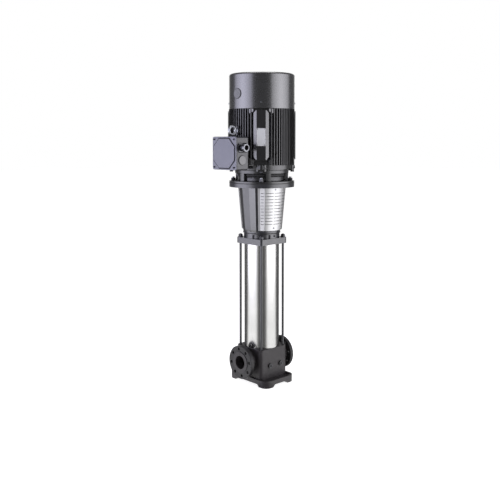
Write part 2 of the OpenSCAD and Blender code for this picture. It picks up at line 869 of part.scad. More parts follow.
module stage_chamber() {
    inner_r = chamber_r - stage_sheet;
    difference() {
        union() {
            tube(chamber_r, inner_r, stage_pitch - 2 * fit_gap);
            tube(chamber_r, eye_r + run_gap + neck_ring_w + fit_gap, plate_z);
            translate([0, 0, guide_z]) tube(impeller_r, spacer_r + run_gap, stage_sheet);
            translate([0, 0, guide_z + stage_sheet / 2])
                linear_extrude(stage_pitch - guide_z - stage_sheet - 2)
                    around(guide_vanes) mirror([0, 1]) vane_2d(eye_r, inner_r + eps, stage_sheet, impeller_r);
        }
    }
}

module stage_chambers() {
    color(steel) for (i = [0 : stages - 1]) translate([0, 0, stack_z + i * stage_pitch]) stage_chamber();
}

module neck_rings() {
    color("#dcdcd2") for (i = [0 : stages - 1]) translate([0, 0, stack_z + i * stage_pitch])
        tube(eye_r + run_gap + neck_ring_w, eye_r + run_gap, 8);
}

// Suction bell that carries the lower bearing on three arms
module inlet_part() {
    bearing_r = shaft_r + 7;
    color(steel) {
        difference() {
            union() {
                translate([0, 0, seat_z - 6]) cylinder(r = suction_chamber_r - fit_gap, h = 7);
                translate([0, 0, seat_z]) cylinder(r = central_wall_r, h = 6);
                translate([0, 0, seat_z]) cylinder(r = suction_chamber_r - 2, h = inlet_part_h - 2 * fit_gap);
                translate([0, 0, stack_z - 6]) cylinder(r = chamber_r, h = 6 - 2 * fit_gap);
            }
            translate([0, 0, seat_z - 6 - eps]) cylinder(r = suction_chamber_r - 8, h = inlet_part_h + 10);
        }
        difference() {
            union() {
                translate([0, 0, seat_z]) cylinder(r = bearing_r + 6, h = inlet_part_h - nut_len - 6);
                around(3, 90) translate([shaft_r, -4, seat_z]) cube([suction_chamber_r - shaft_r - 4, 8, 14]);
            }
            translate([0, 0, seat_z - eps]) cylinder(r = bearing_r + fit_gap, h = inlet_part_h);
        }
    }
}

module lower_bearing() {
    bearing_r = shaft_r + 7;
    color("#7d7f84") translate([0, 0, seat_z]) tube(bearing_r, shaft_r + fit_gap, inlet_part_h - nut_len - 6);
}

// Last chamber, with windows into the channel inside the sleeve
module discharge_part() {
    inner_r = chamber_r - stage_sheet;
    color(steel) translate([0, 0, discharge_z]) difference() {
        union() {
            tube(chamber_r, inner_r, discharge_h - 2 * fit_gap);
            translate([0, 0, discharge_h - 2 * fit_gap - 4]) tube(chamber_r, spacer_r + run_gap, 4);
        }
        around(12) translate([inner_r - 3, -8, 6]) cube([10, 16, discharge_h - 16]);
    }
}

// Springy clamp ring between the stack and the pump head
module clamp_ring() {
    color(zinc) translate([0, 0, clamp_z]) difference() {
        tube(chamber_r, chamber_r - 12, clamp_h - fit_gap);
        around(3) translate([0, -20, 4]) cube([chamber_r + eps, 40, 3]);
        around(3, 60) translate([0, -20, clamp_h - 8]) cube([chamber_r + eps, 40, 3]);
    }
}

// Shaft seal

module seal_gland() {
    color(steel) translate([0, 0, head_top]) difference() {
        cylinder(r = gland_plate_r, h = gland_plate_t);
        translate([0, 0, -eps]) cylinder(r = shaft_r + 2, h = gland_plate_t + 2 * eps);
        around(4, 45) translate([gland_screw_r, 0, -eps]) cylinder(d = 11, h = gland_plate_t + 2 * eps);
    }
}

module seal_seat() {
    color("#3c3f45") translate([0, 0, seal_face_z])
        tube(seal_r + 4, shaft_r + 2, head_top - seal_face_z - fit_gap);
}

module seal_ring() {
    height = 26;
    color("#6d7076") translate([0, 0, seal_face_z - height - run_gap]) {
        translate([0, 0, height - 10]) tube(seal_r, shaft_r + fit_gap, 10);
        tube(seal_r + 2, shaft_r + fit_gap, height - 9);
    }
}

module seal_gland_screws() {
    color(zinc) translate([0, 0, head_top + gland_plate_t]) around(4, 45) translate([gland_screw_r, 0, 0])
        cap_screw(10, gland_plate_t + 14);
}

// Lantern and guards

module lantern() {
    color("#4b4b50") difference() {
        union() {
            rotate_extrude() polygon([
                [lantern_foot_r - lantern_wall, head_top],
                [lantern_foot_r, head_top],
                [lantern_foot_r, head_top + 8],
                [cone_r(lantern_flange_z + eps), lantern_flange_z + eps],
                [cone_r(lantern_flange_z + eps) - lantern_wall, lantern_flange_z + eps],
                [lantern_foot_r - lantern_wall, head_top + 8]]);
            translate([0, 0, head_top]) tube(lantern_foot_r, gland_plate_r + 4, lantern_foot_h);
            translate([0, 0, lantern_flange_z])
                tube(motor_flange_od / 2, lantern_top_r - lantern_wall, lantern_flange_t);
            // Bosses that carry the guards
            for (side = [-1, 1]) at_guard_screws(side)
                translate([0, 0, -guard_step - guard_t - 6]) cylinder(r = 7, h = guard_step + 6 - seat_gap);
        }
        for (side = [-90, 90]) translate([0, 0, window_z])
            linear_extrude(window_top - window_z) wedge(2 * lantern_top_r, side, window_half_angle);
        translate([0, 0, lantern_top - motor_spigot_h]) cylinder(d = motor_spigot_d, h = motor_spigot_h + eps);
        translate([0, 0, lantern_top - lantern_flange_t + 6]) at_motor_studs()
            cylinder(d = motor_stud_d + 2 * fit_gap, h = lantern_flange_t);
        translate([0, 0, head_top - eps]) at_lantern_screws()
            cylinder(d = lantern_screw_d + 1, h = lantern_foot_h + 2 * eps);
        for (side = [-1, 1]) at_guard_screws(side)
            translate([0, 0, -guard_screw_len]) cylinder(d = guard_screw_d + 2 * fit_gap, h = 2 * guard_screw_len);
        // Drain for water that leaks past the seal
        translate([0, 0, head_top + 9]) radial_cylinder(leak_angle, gland_plate_r, lantern_foot_r + eps, 5);
    }
}

module lantern_screws() {
    color(zinc) translate([0, 0, head_top + lantern_foot_h]) at_lantern_screws()
        cap_screw(lantern_screw_d, lantern_foot_h + 18);
}

// Outer radius of the lantern's cone at the height z
function cone_r(z) = lantern_foot_r + (lantern_top_r - lantern_foot_r)
    * (z - head_top - 8) / (window_top - head_top - 8);

// Conical sheet that follows the lantern at the distance off, from z0 to z1
module cone_sheet(off, z0, z1) {
    rotate_extrude() polygon([
        [cone_r(z0) + off, z0], [cone_r(z0) + off + guard_t, z0],
        [cone_r(z1) + off + guard_t, z1], [cone_r(z1) + off, z1]]);
}

guard_z0 = head_top + 19;
guard_z1 = lantern_flange_z - 4;
guard_slot_z = guard_z0 + 39;
guard_panel_angle = guard_half_angle - guard_lip_angle - guard_ramp_angle;
guard_screw_d = 5;
guard_screw_len = guard_step + 8;
guard_screw_turn = -9;
seat_gap = 0.3;

module sector(mid, half, z0 = guard_z0, z1 = guard_z1) {
    translate([0, 0, z0]) linear_extrude(z1 - z0) wedge(2 * lantern_top_r, mid, half);
}

// Slanted strip between a lip and the panel, as a flat plate
module guard_ramp(mid) {
    z = (guard_z0 + guard_z1) / 2;
    half = guard_ramp_angle / 2;
    panel_edge = cone_r(z) + guard_step + guard_t / 2;
    lip_edge = cone_r(z) + 2 * seat_gap + guard_t / 2;
    slant = atan2(cos(half) * (panel_edge - lip_edge), sin(half) * (panel_edge + lip_edge));
    for (side = [-1, 1]) intersection() {
        sector(mid + side * (guard_panel_angle + half), half + 0.3);
        rotate(mid + side * (guard_panel_angle + half))
            translate([cos(half) * (panel_edge + lip_edge) / 2, 0, z]) rotate([0, cone_angle, 0])
                rotate(side * slant) cube([guard_t, 60, 2 * (guard_z1 - guard_z0)], center = true);
    }
}

// Guard over one window, centred on the angle mid
module guard(mid) {
    slot_third = 2 * guard_panel_angle / 3;
    color(steel) difference() {
        union() {
            intersection() {
                cone_sheet(guard_step, guard_z0, guard_z1);
                sector(mid, guard_panel_angle);
            }
            intersection() {
                cone_sheet(seat_gap, guard_z0, guard_z1);
                for (side = [-1, 1])
                    sector(mid + side * (guard_half_angle - guard_lip_angle / 2), guard_lip_angle / 2);
            }
            guard_ramp(mid);
        }
        for (row = [0 : guard_rows - 1]) translate([0, 0, guard_slot_z + row * guard_row_pitch]) {
            for (i = [-1, 0, 1]) guard_slot(mid + i * slot_third, (slot_third - guard_bar_angle) / 2);
            for (side = [-1, 1])
                guard_slot(mid + side * (guard_panel_angle + guard_ramp_angle / 2),
                    (guard_ramp_angle - guard_bar_angle) / 2);
        }
        at_guard_screws(mid > 0 ? 1 : -1) translate([0, 0, -5]) cylinder(d = guard_screw_d + 0.6, h = 10);
    }
}

module guard_slot(mid, half) {
    translate([0, 0, -guard_slot_h / 2]) linear_extrude(guard_slot_h) wedge(2 * lantern_top_r, mid, half);
}

// Places near the middle of a guard, square to its sheet
module at_guard_screws(side) {
    for (z = [guard_z0 + 15, guard_z1 - 9])
        rotate(side * 90 + guard_screw_turn) translate([cone_r(z) + guard_step + guard_t, 0, z])
            rotate([0, 90 + cone_angle, 0]) children();
}

module guard_front() {
    guard(-90);
}

module guard_rear() {
    guard(90);
}

module guard_screws() {
    color(zinc) for (side = [-1, 1]) at_guard_screws(side) translate([0, 0, fit_gap]) {
        cylinder(r1 = 5, r2 = 4, h = 3);
        translate([0, 0, 1 - guard_screw_len]) cylinder(d = guard_screw_d, h = guard_screw_len);
    }
}

// Coupling

module coupling_half(side) {
    color("#8c8f95") difference() {
        translate([0, 0, coupling_z]) cylinder(r = coupling_r, h = coupling_len);
        translate([0, 0, coupling_z - eps]) {
            cylinder(r = shaft_r + fit_gap, h = coupling_len + 2 * eps);
            translate([-coupling_r - eps, side > 0 ? -coupling_d : -coupling_split / 2, 0])
                cube([coupling_d + 2 * eps, coupling_d + coupling_split / 2, coupling_len + 2 * eps]);
        }
        translate([0, 0, pump_shaft_top + shaft_end_gap / 2])
            cylinder(r = motor_shaft_r + fit_gap, h = coupling_len);
        at_coupling_screws() {
            translate([0, 0, -coupling_r]) cylinder(d = coupling_screw_d + 2 * fit_gap, h = coupling_d);
            cylinder(d = 1.5 * coupling_screw_d + 1, h = coupling_r);
        }
    }
}

module at_coupling_screws() {
    for (x = [-1, 1], z = [0.17, 0.5, 0.83])
        translate([x * coupling_screw_x, 10, coupling_z + z * coupling_len]) rotate([-90, 0, 0]) children();
}

module coupling_half_front() {
    coupling_half(-1);
}

module coupling_half_rear() {
    coupling_half(1);
}

module coupling_screws() {
    color("#2d2d30") at_coupling_screws() cap_screw(coupling_screw_d, 30);
}

// Motor

module drive_end_shield() {
    z0 = lantern_top;
    seat_top = drive_bearing_z + drive_bearing_w;
    seat_r = drive_bearing_od / 2 + fit_gap;
    color("#37373b") difference() {
        union() {
            rotate_extrude() polygon([
                [motor_shaft_r + 4, z0 + 12], [48, z0 + 12], [48, z0 + 24], [128, z0 + 24],
                [128, z0 - motor_spigot_h + 0.5], [motor_spigot_d / 2 - 0.2, z0 - motor_spigot_h + 0.5],
                [motor_spigot_d / 2 - 0.2, z0], [motor_flange_od / 2, z0],
                [motor_flange_od / 2, motor_flange_top], [140, motor_flange_top],
                [140, shield_boss_top - 3], [137, shield_boss_top], [118, shield_boss_top + 5],
                [118, shield_waist_top - 3], [shield_ring_r - 4, shield_waist_top],
                [shield_ring_r, shield_waist_top + 4], [shield_ring_r, shield_ring_top],
                [shield_ring_r + 6, shield_ring_top + 3], [shield_ring_r + 6, frame_z],
                [frame_bore_r - fit_gap, frame_z], [frame_bore_r - fit_gap, frame_z + spigot_len],
                [frame_bore_r - spigot_t, frame_z + spigot_len], [frame_bore_r - spigot_t, shield_waist_top + 12],
                [shield_hub_r, shield_waist_top + 12], [shield_hub_r, seat_top],
                [seat_r, seat_top], [seat_r, drive_bearing_z], [seat_r - 12, drive_bearing_z],
                [seat_r - 12, drive_bearing_z - 6], [motor_shaft_r + 4, drive_bearing_z - 6]]);
            // Ribs from the flange up to the ring, with open windows between them
            translate([0, 0, motor_flange_top - eps])
                linear_extrude(shield_waist_top + 6 - motor_flange_top) intersection() {
                    annulus(shield_ring_r - 0.5, shield_ring_r - 0.5 - shield_rib_t);
                    around(shield_ribs) translate([120, -shield_rib_w / 2]) square([60, shield_rib_w]);
                }
            // Ears under the frame's ears
            around(4, 45) ear(frame_z - 12, 12);
        }
        translate([0, 0, frame_z - 13]) around(4, 45) translate([ear_screw_r, 0, 0])
            cylinder(d = ear_screw_d + 1, h = 14);
        translate([0, 0, lantern_top - eps]) at_motor_studs()
            cylinder(d = motor_stud_d + 2.5, h = motor_flange_t + 2 * eps);
    }
}

// Rounded lug on a corner of the motor
module ear(z, h) {
    r = 15;
    translate([0, 0, z]) linear_extrude(h) {
        translate([frame_bore_r, -ear_w / 2]) square([ear_r - r - frame_bore_r, ear_w]);
        translate([ear_r - 2 * r, r - ear_w / 2]) square([2 * r, ear_w - 2 * r]);
        for (s = [-1, 1]) translate([ear_r - r, s * (ear_w / 2 - r)]) circle(r);
    }
}

module motor_studs() {
    top = motor_flange_top + washer_t + nut_h + 2 * stud_proud;
    color("#55565a") at_motor_studs() translate([0, 0, lantern_flange_z + 6])
        cylinder(d = motor_stud_d, h = top - lantern_flange_z - 6);
}

module shield_screws() {
    color("#3a3a3d") around(4, 45) translate([ear_screw_r, 0, frame_z - 12]) rotate([180, 0, 0])
        hex_screw(ear_screw_d, 30);
}

// Section through the parallel fins of one side, which points along +X
module fins_2d() {
    intersection() {
        for (i = [0 : fin_count - 1])
            translate([frame_bore_r / 2, (i - (fin_count - 1) / 2) * fin_pitch - fin_t / 2])
                square([fin_reach_r, fin_t]);
        annulus(fin_reach_r, frame_r - eps);
    }
}

// Section through a corner strip, which points along +X
module strip_2d() {
    face = fin_reach_r - 2;
    half = strip_w / 2;
    polygon([[frame_bore_r + 3, -half - strip_chamfer], [face - strip_chamfer, -half - strip_chamfer],
        [face, -half], [face, half], [face - strip_chamfer, half + strip_chamfer],
        [frame_bore_r + 3, half + strip_chamfer]]);
}

module stator_frame() {
    strip_foot = frame_foot_h + 34;
    boss_w = 144;
    color(motor_black) difference() {
        union() {
            translate([0, 0, frame_z]) linear_extrude(frame_h) annulus(frame_r, frame_bore_r);
            translate([0, 0, frame_z]) linear_extrude(frame_foot_h) annulus(frame_r + 8, frame_bore_r);
            translate([0, 0, frame_z + frame_foot_h + 2]) linear_extrude(frame_h - frame_foot_h - 2)
                around(4) fins_2d();
            translate([0, 0, frame_z + strip_foot]) linear_extrude(frame_h - strip_foot - 12)
                around(4, 45) strip_2d();
            around(4, 45) ear(frame_z, 26);
            // Solid corner bosses at both ends of the fins
            for (z = [frame_z + frame_foot_h, frame_top - 20])
                translate([0, 0, z]) linear_extrude(20) intersection() {
                    around(4, 45) translate([frame_bore_r + 3, -boss_w / 2]) square([16, boss_w]);
                    annulus(fin_reach_r - 4, frame_bore_r + 3);
                }
            // Pad that carries the terminal box
            translate([-pad_x, -75, box_z - 75]) cube([pad_x - frame_bore_r + 10, 150, 150]);
            for (side = [0, 180]) translate([0, 0, eye_z]) radial_cylinder(side, frame_bore_r + 4, eye_seat, 24);
        }
        translate([0, 0, frame_z - eps]) cylinder(r = frame_bore_r, h = frame_h + 2 * eps);
        translate([-pad_x - eps, -40, box_z - 40]) cube([pad_x, 80, 80]);
        for (side = [0, 180]) translate([0, 0, eye_z])
            radial_cylinder(side, eye_seat - 30, eye_seat + eps, eye_shank_r + fit_gap);
        translate([0, 0, frame_z - eps]) around(4, 45) translate([ear_screw_r, 0, 0])
            cylinder(d = ear_screw_d + 2 * fit_gap, h = 22);
        at_box_screws(pad_x + eps) cylinder(d = 8 + 2 * fit_gap, h = 20);
    }
}

// Four places round the box's wire opening, looking at the motor axis
module at_box_screws(x) {
    for (y = [-58, 58], z = [-58, 58]) translate([-x, y, box_z + z]) rotate([0, 90, 0]) children();
}

module nameplate() {
    color("#c8ccd2") rotate(-135) translate([fin_reach_r - 2, 0, 0]) difference() {
        translate([0, -plate_w / 2, lantern_top + 277 - plate_h / 2]) cube([1, plate_w, plate_h]);
        for (y = [-1, 1], z = [-1, 1])
            translate([-eps, y * (plate_w / 2 - 5), lantern_top + 277 + z * (plate_h / 2 - 5)])
                rotate([0, 90, 0]) cylinder(d = 3, h = 4);
    }
}

module stator_core() {
    color("#6b6c70") translate([0, 0, core_z])
        tube(frame_bore_r - fit_gap, rotor_r + air_gap, core_len);
}

module stator_windings() {
    color("#9a4a1e") for (z = [core_z - 34, core_top + 0.2]) translate([0, 0, z])
        tube(frame_bore_r - 15, rotor_r + 8, 34 - 0.2);
}

module rotor_core() {
    color("#808287") translate([0, 0, core_z]) difference() {
        union() {
            cylinder(r = rotor_r, h = core_len);
            translate([0, 0, -18]) cylinder(r = rotor_r - 4, h = core_len + 36);
            for (z = [-30, core_len + 17]) translate([0, 0, z]) around(8)
                translate([rotor_r - 26, -3, 0]) cube([20, 6, 13]);
        }
        translate([0, 0, -40]) cylinder(r = main_shaft_r + fit_gap, h = core_len + 80);
        for (z = [-19, core_len + 8]) translate([0, 0, z]) cylinder(r = rotor_r - 30, h = 11);
    }
}

main_shaft_r = drive_bearing_bore / 2 + 6;

module motor_shaft() {
    bearing_top = drive_bearing_z + drive_bearing_w;
    color("#b4b7bc") {
        translate([0, 0, motor_shaft_end]) cylinder(r = motor_shaft_r, h = bearing_top - motor_shaft_end);
        translate([0, 0, drive_bearing_z - 3]) cylinder(d = drive_bearing_bore, h = drive_bearing_w + 4);
        translate([0, 0, bearing_top + fit_gap]) cylinder(r = main_shaft_r, h = fan_bearing_z - bearing_top - 2 * fit_gap);
        translate([0, 0, fan_bearing_z - eps]) cylinder(d = fan_bearing_bore, h = fan_bearing_w + 3 + eps);
        translate([0, 0, fan_bearing_z]) cylinder(r = fan_end_r, h = shaft_top - fan_bearing_z);
    }
}

// Ball bearing sizes
function ball_r(bore, od) = (od - bore) * 0.15;
function race_r(bore, od) = (od + bore) / 4;

module bearing_ring(bore, od, w, outer) {
    pitch_r = race_r(bore, od);
    land = ball_r(bore, od) * 0.55;
    difference() {
        if (outer) tube(od / 2, pitch_r + land, w);
        else tube(pitch_r - land, bore / 2 + fit_gap, w);
        translate([0, 0, w / 2]) rotate_extrude() translate([pitch_r, 0])
            circle(r = ball_r(bore, od) + run_gap);
    }
}

module bearing_balls(bore, od, w) {
    pitch_r = race_r(bore, od);
    cage_t = ball_r(bore, od) * 0.5;
    translate([0, 0, w / 2]) {
        around(ball_count) translate([pitch_r, 0, 0]) sphere(r = ball_r(bore, od));
        translate([0, 0, -1.5]) tube(pitch_r + cage_t / 2, pitch_r - cage_t / 2, 3);
    }
}

module drive_bearing_outer() {
    color(steel) translate([0, 0, drive_bearing_z])
        bearing_ring(drive_bearing_bore, drive_bearing_od, drive_bearing_w - fit_gap, true);
}

module drive_bearing_inner() {
    color(steel) translate([0, 0, drive_bearing_z])
        bearing_ring(drive_bearing_bore, drive_bearing_od, drive_bearing_w - fit_gap, false);
}

module drive_bearing_balls() {
    color("#dfe2e6") translate([0, 0, drive_bearing_z])
        bearing_balls(drive_bearing_bore, drive_bearing_od, drive_bearing_w - fit_gap);
}

module fan_bearing_outer() {
    color(steel) translate([0, 0, fan_bearing_z + fit_gap])
        bearing_ring(fan_bearing_bore, fan_bearing_od, fan_bearing_w - fit_gap, true);
}

module fan_bearing_inner() {
    color(steel) translate([0, 0, fan_bearing_z + fit_gap])
        bearing_ring(fan_bearing_bore, fan_bearing_od, fan_bearing_w - fit_gap, false);
}

module fan_bearing_balls() {
    color("#dfe2e6") translate([0, 0, fan_bearing_z + fit_gap])
        bearing_balls(fan_bearing_bore, fan_bearing_od, fan_bearing_w - fit_gap);
}

module fan_end_shield() {
    seat_r = fan_bearing_od / 2 + fit_gap;
    seat_top = fan_bearing_z + fan_bearing_w + fit_gap;
    color("#37373b") difference() {
        union() {
            rotate_extrude() polygon([
                [fan_end_r + 7, seat_top], [seat_r, seat_top], [seat_r, fan_bearing_z - 6],
                [seat_r + 12, fan_bearing_z - 6], [seat_r + 12, frame_top + 2],
                [frame_bore_r - spigot_t, frame_top + 2], [frame_bore_r - spigot_t, frame_top - spigot_len],
                [frame_bore_r - fit_gap, frame_top - spigot_len], [frame_bore_r - fit_gap, frame_top],
                [frame_r, frame_top], [frame_r, frame_top + 12], [seat_r + 12, frame_top + 12],
                [seat_r + 12, seat_top + 6], [fan_end_r + 7, seat_top + 6]]);
            // Posts that carry the fan cover
            around(4, 45) translate([frame_bore_r - 8, -16, frame_top])
                cube([cover_r - frame_bore_r + 8, 32, boss_top - frame_top]);
        }
        difference() {
            translate([0, 0, frame_top - eps]) cylinder(r = 2 * cover_r, h = cover_h);
            translate([0, 0, frame_top - 2 * eps]) cylinder(r = cover_r - cover_t - 0.1, h = cover_h + 2);
        }
        at_cover_screws() translate([0, 0, -20]) cylinder(d = 6 + 2 * fit_gap, h = 30);
    }
}

module at_cover_screws() {
    around(4, 45) translate([cover_r, 0, frame_top + cover_screw_h]) rotate([0, 90, 0]) children();
}

module cooling_fan() {
    color("#1d1d1f") difference() {
        union() {
            translate([0, 0, fan_z]) cylinder(r = fan_end_r + 13, h = fan_blade_h + 8);
            translate([0, 0, fan_z]) cylinder(r = fan_r - 20, h = 4);
            around(fan_blades) rotate([90, 0, 0]) linear_extrude(3.5, center = true)
                polygon([[fan_end_r + 10, fan_z + 1], [fan_r - 21, fan_z + 1], [fan_r, fan_z + 12],
                    [fan_r, fan_z + fan_blade_h], [fan_r - 50, fan_z + fan_blade_h],
                    [fan_end_r + 10, fan_z + fan_blade_h - 14]]);
        }
        translate([0, 0, fan_z - eps]) cylinder(r = fan_end_r + fit_gap, h = fan_blade_h + 20);
    }
}

module fan_cover() {
    color("#46464c") difference() {
        rotate_extrude() difference() {
            union() {
                translate([0, frame_top]) square([cover_r, cover_h - cover_edge_r]);
                translate([0, frame_top]) square([cover_r - cover_edge_r, cover_h]);
                translate([cover_r - cover_edge_r, cover_top - cover_edge_r]) circle(cover_edge_r);
            }
            translate([-eps, frame_top - eps]) {
                square([cover_r - cover_t + eps, cover_h - cover_edge_r + eps]);
                square([cover_r - cover_edge_r + eps, cover_h - cover_t + eps]);
                translate([cover_r - cover_edge_r + eps, cover_h - cover_edge_r + eps])
                    circle(cover_edge_r - cover_t);
            }
        }
        translate([0, 0, cover_top - cover_t - eps]) linear_extrude(cover_t + 2 * eps) grille_slots_2d();
        at_cover_screws() translate([0, 0, -20]) cylinder(d = 6.6, h = 30);
        translate([0, 0, frame_top + cover_plug_h]) radial_cylinder(180, cover_r - 12, cover_r + eps, cover_plug_d / 2 - 4);
    }
}

// Ring slots in the cover's top, left in pieces by the spokes
module grille_slots_2d() {
    difference() {
        for (i = [0 : grille_rings - 1])
            annulus(34 + i * (grille_slot + grille_bar) + grille_slot, 34 + i * (grille_slot + grille_bar));
        around(grille_spokes) translate([0, -grille_bar / 2]) square([cover_r, grille_bar]);
    }
}

module fan_cover_screws() {
    color(zinc) at_cover_screws() {
        cylinder(d1 = 12, d2 = 9, h = 3.5);
        translate([0, 0, -16]) cylinder(d = 6, h = 16 + eps);
    }
}

module lifting_eyes() {
    reach = eye_seat + eye_collar_h + eye_ring_r + eye_ring_section / 2 - 3;
    color(zinc) for (side = [0, 180]) rotate(side) translate([0, 0, eye_z]) {
        radial_cylinder(0, eye_seat - 24, eye_seat + eps, eye_shank_r);
        radial_cylinder(0, eye_seat, eye_seat + eye_collar_h, eye_collar_r);
        radial_cylinder(0, eye_seat + eye_collar_h - eps, reach - eye_ring_r, eye_shank_r + 1);
        translate([reach, 0, 0]) rotate([90, 0, 0]) rotate_extrude()
            translate([eye_ring_r, 0]) circle(d = eye_ring_section);
    }
}

// Terminal box

box_front = box_reach - box_panel_h - box_cover_t;

module terminal_box() {
    depth = box_front - pad_x;
    color("#403f45") difference() {
        union() {
            translate([-box_front, 0, box_z]) rotate([0, 90, 0]) linear_extrude(depth)
                rounded_rect(box_h, box_w, 10);
        }
        // Inside of the box, open towards the cover
        difference() {
            translate([-box_front - eps, -box_side + pocket_depth + pocket_wall, box_z - box_h / 2 + box_wall])
                cube([depth - box_wall + eps, box_w - pocket_depth - pocket_wall - box_wall, box_h - 2 * box_wall]);
            for (s = [-1, 1], t = [-1, 1]) translate([-box_front - 2 * eps, s * box_screw_y, box_z + t * box_screw_z])
                rotate([0, 90, 0]) cylinder(r = box_post_r, h = depth);
        }
        // Pocket for the cable gland
        translate([-box_front + 12, -box_side - eps, gland_z - 27])
            cube([62, pocket_depth + eps, 55]);
        translate([-pad_x - box_wall - eps, -40, box_z - 40]) cube([box_wall + 2 * eps, 80, 80]);
        translate([-gland_x, 0, gland_z]) radial_cylinder(-90, 0, box_w, gland_thread_d / 2 + fit_gap);
        translate([-gland_x, 0, blank_z]) radial_cylinder(-90, 0, box_w, gland_thread_d / 2 + fit_gap);
        for (s = [-1, 1], t = [-1, 1]) translate([-box_front - eps, s * box_screw_y, box_z + t * box_screw_z])
            rotate([0, 90, 0]) cylinder(d = 6 + 2 * fit_gap, h = 22);
        at_box_screws(pad_x + box_wall + eps) cylinder(d = 9, h = box_wall + 2 * eps);
    }
}

// Octagonal outline of the cover's raised panel
module panel_2d(h, w, cut) {
    polygon([[-h / 2, -w / 2 + cut], [-h / 2, w / 2 - cut], [-h / 2 + cut, w / 2], [h / 2 - cut, w / 2],
        [h / 2, w / 2 - cut], [h / 2, -w / 2 + cut], [h / 2 - cut, -w / 2], [-h / 2 + cut, -w / 2]]);
}

module terminal_cover() {
    color("#8a8894") translate([-box_reach, 0, box_z]) rotate([0, 90, 0]) difference() {
        union() {
            translate([0, 0, box_panel_h]) linear_extrude(box_cover_t) rounded_rect(box_h, box_w, 10);
            linear_extrude(box_panel_h + eps) panel_2d(box_h - 24, box_w - 24, box_panel_cut);
        }
        // Groove round the raised panel
        translate([0, 0, -eps]) linear_extrude(box_panel_h + box_groove_d + eps) difference() {
            panel_2d(box_h - 24 + 2 * box_groove_w, box_w - 24 + 2 * box_groove_w, box_panel_cut + 0.586 * box_groove_w);
            panel_2d(box_h - 24, box_w - 24, box_panel_cut);
        }
        for (s = [-1, 1], t = [-1, 1]) translate([t * box_screw_z, s * box_screw_y, -eps])
            cylinder(d = 6.6, h = 20);
    }
}

module terminal_cover_screws() {
    color("#2d2d30") for (s = [-1, 1], t = [-1, 1])
        translate([-box_reach + box_panel_h, s * box_screw_y, box_z + t * box_screw_z]) rotate([0, -90, 0])
            cap_screw(6, 26);
}

// Block with six studs inside the terminal box
module terminal_block() {
    color("#8a3b22") translate([-pad_x - box_wall, 0, box_z]) rotate([0, -90, 0]) {
        difference() {
            translate([-36, -52, 0.1]) cube([72, 104, 16]);
            translate([-14, -20, -eps]) cube([28, 40, 30]);
        }
        for (s = [-1, 1], t = [-1, 0, 1]) translate([s * 25, t * 34, 16]) cylinder(d = 8, h = 18);
    }
}

// Cable gland with an empty bore
module cable_gland() {
    floor_y = box_side - pocket_depth;
    color("#a9abb0") translate([-gland_x, -floor_y, gland_z]) rotate([90, 0, 0]) difference() {
        union() {
            translate([0, 0, 0.1]) hex_prism(gland_af, 14);
            translate([0, 0, 13]) cylinder(d = gland_af - 3, h = gland_len - 14 - 12);
            translate([0, 0, gland_len - 14]) cylinder(d = gland_af, h = 14);
            translate([0, 0, 12]) cylinder(d = gland_af - 6, h = gland_len - 14);
            translate([0, 0, -pocket_wall - 4]) cylinder(d = gland_thread_d, h = 16);
        }
        translate([0, 0, -pocket_wall - 5]) cylinder(d = gland_bore_d, h = gland_len + 20);
    }
}

// Round plugs: one in the terminal box and one in the fan cover
module blanking_plugs() {
    color("#46464c") {
        translate([-gland_x, -box_side, blank_z]) rotate([90, 0, 0]) {
            translate([0, 0, 0.1]) cylinder(d = blank_d, h = 5);
            translate([0, 0, -12]) cylinder(d = gland_thread_d, h = 13);
        }
        translate([0, 0, frame_top + cover_plug_h]) difference() {
            union() {
                radial_cylinder(180, cover_r - 6, cover_r + 2.5, cover_plug_d / 2);
            }
            translate([0, 0, -cover_plug_d]) difference() {
                cylinder(r = cover_r + fit_gap, h = 2 * cover_plug_d);
                translate([0, 0, cover_plug_d]) radial_cylinder(180, 0, 2 * cover_r, cover_plug_d / 2 - 4 - fit_gap);
            }
        }
    }
}

base();
pipe_plugs();
inlet_flange();
outlet_flange();
flange_rings();
outer_sleeve();
sleeve_seals();
stay_bolts();
m16_nuts();
pump_head();
vent_plug();
vent_screw();
pump_shaft();
impellers();
impeller_spacers();
shaft_end_nut();
stage_chambers();
neck_rings();
inlet_part();
lower_bearing();
discharge_part();
clamp_ring();
seal_gland();
seal_seat();
seal_ring();
seal_gland_screws();
lantern();
lantern_screws();
guard_front();
guard_rear();
guard_screws();
coupling_half_front();
coupling_half_rear();
coupling_screws();
drive_end_shield();
motor_studs();
shield_screws();
stator_frame();
stator_core();
stator_windings();
rotor_core();
motor_shaft();
drive_bearing_outer();
drive_bearing_inner();
drive_bearing_balls();
fan_bearing_outer();
fan_bearing_inner();
fan_bearing_balls();
fan_end_shield();
cooling_fan();
fan_cover();
fan_cover_screws();
lifting_eyes();
nameplate();
terminal_box();
terminal_cover();
terminal_cover_screws();
terminal_block();
cable_gland();
blanking_plugs();
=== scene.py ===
"""Looks for a vertical in-line multistage pump: materials, small parts, light and camera.

Metres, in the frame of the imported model: +Z is up along the shaft, the suction flange faces -X.
The small parts are drawn in millimetres, and make_piece scales them.
"""

import json
import math

import bmesh
import bpy
from mathutils import Matrix, Vector


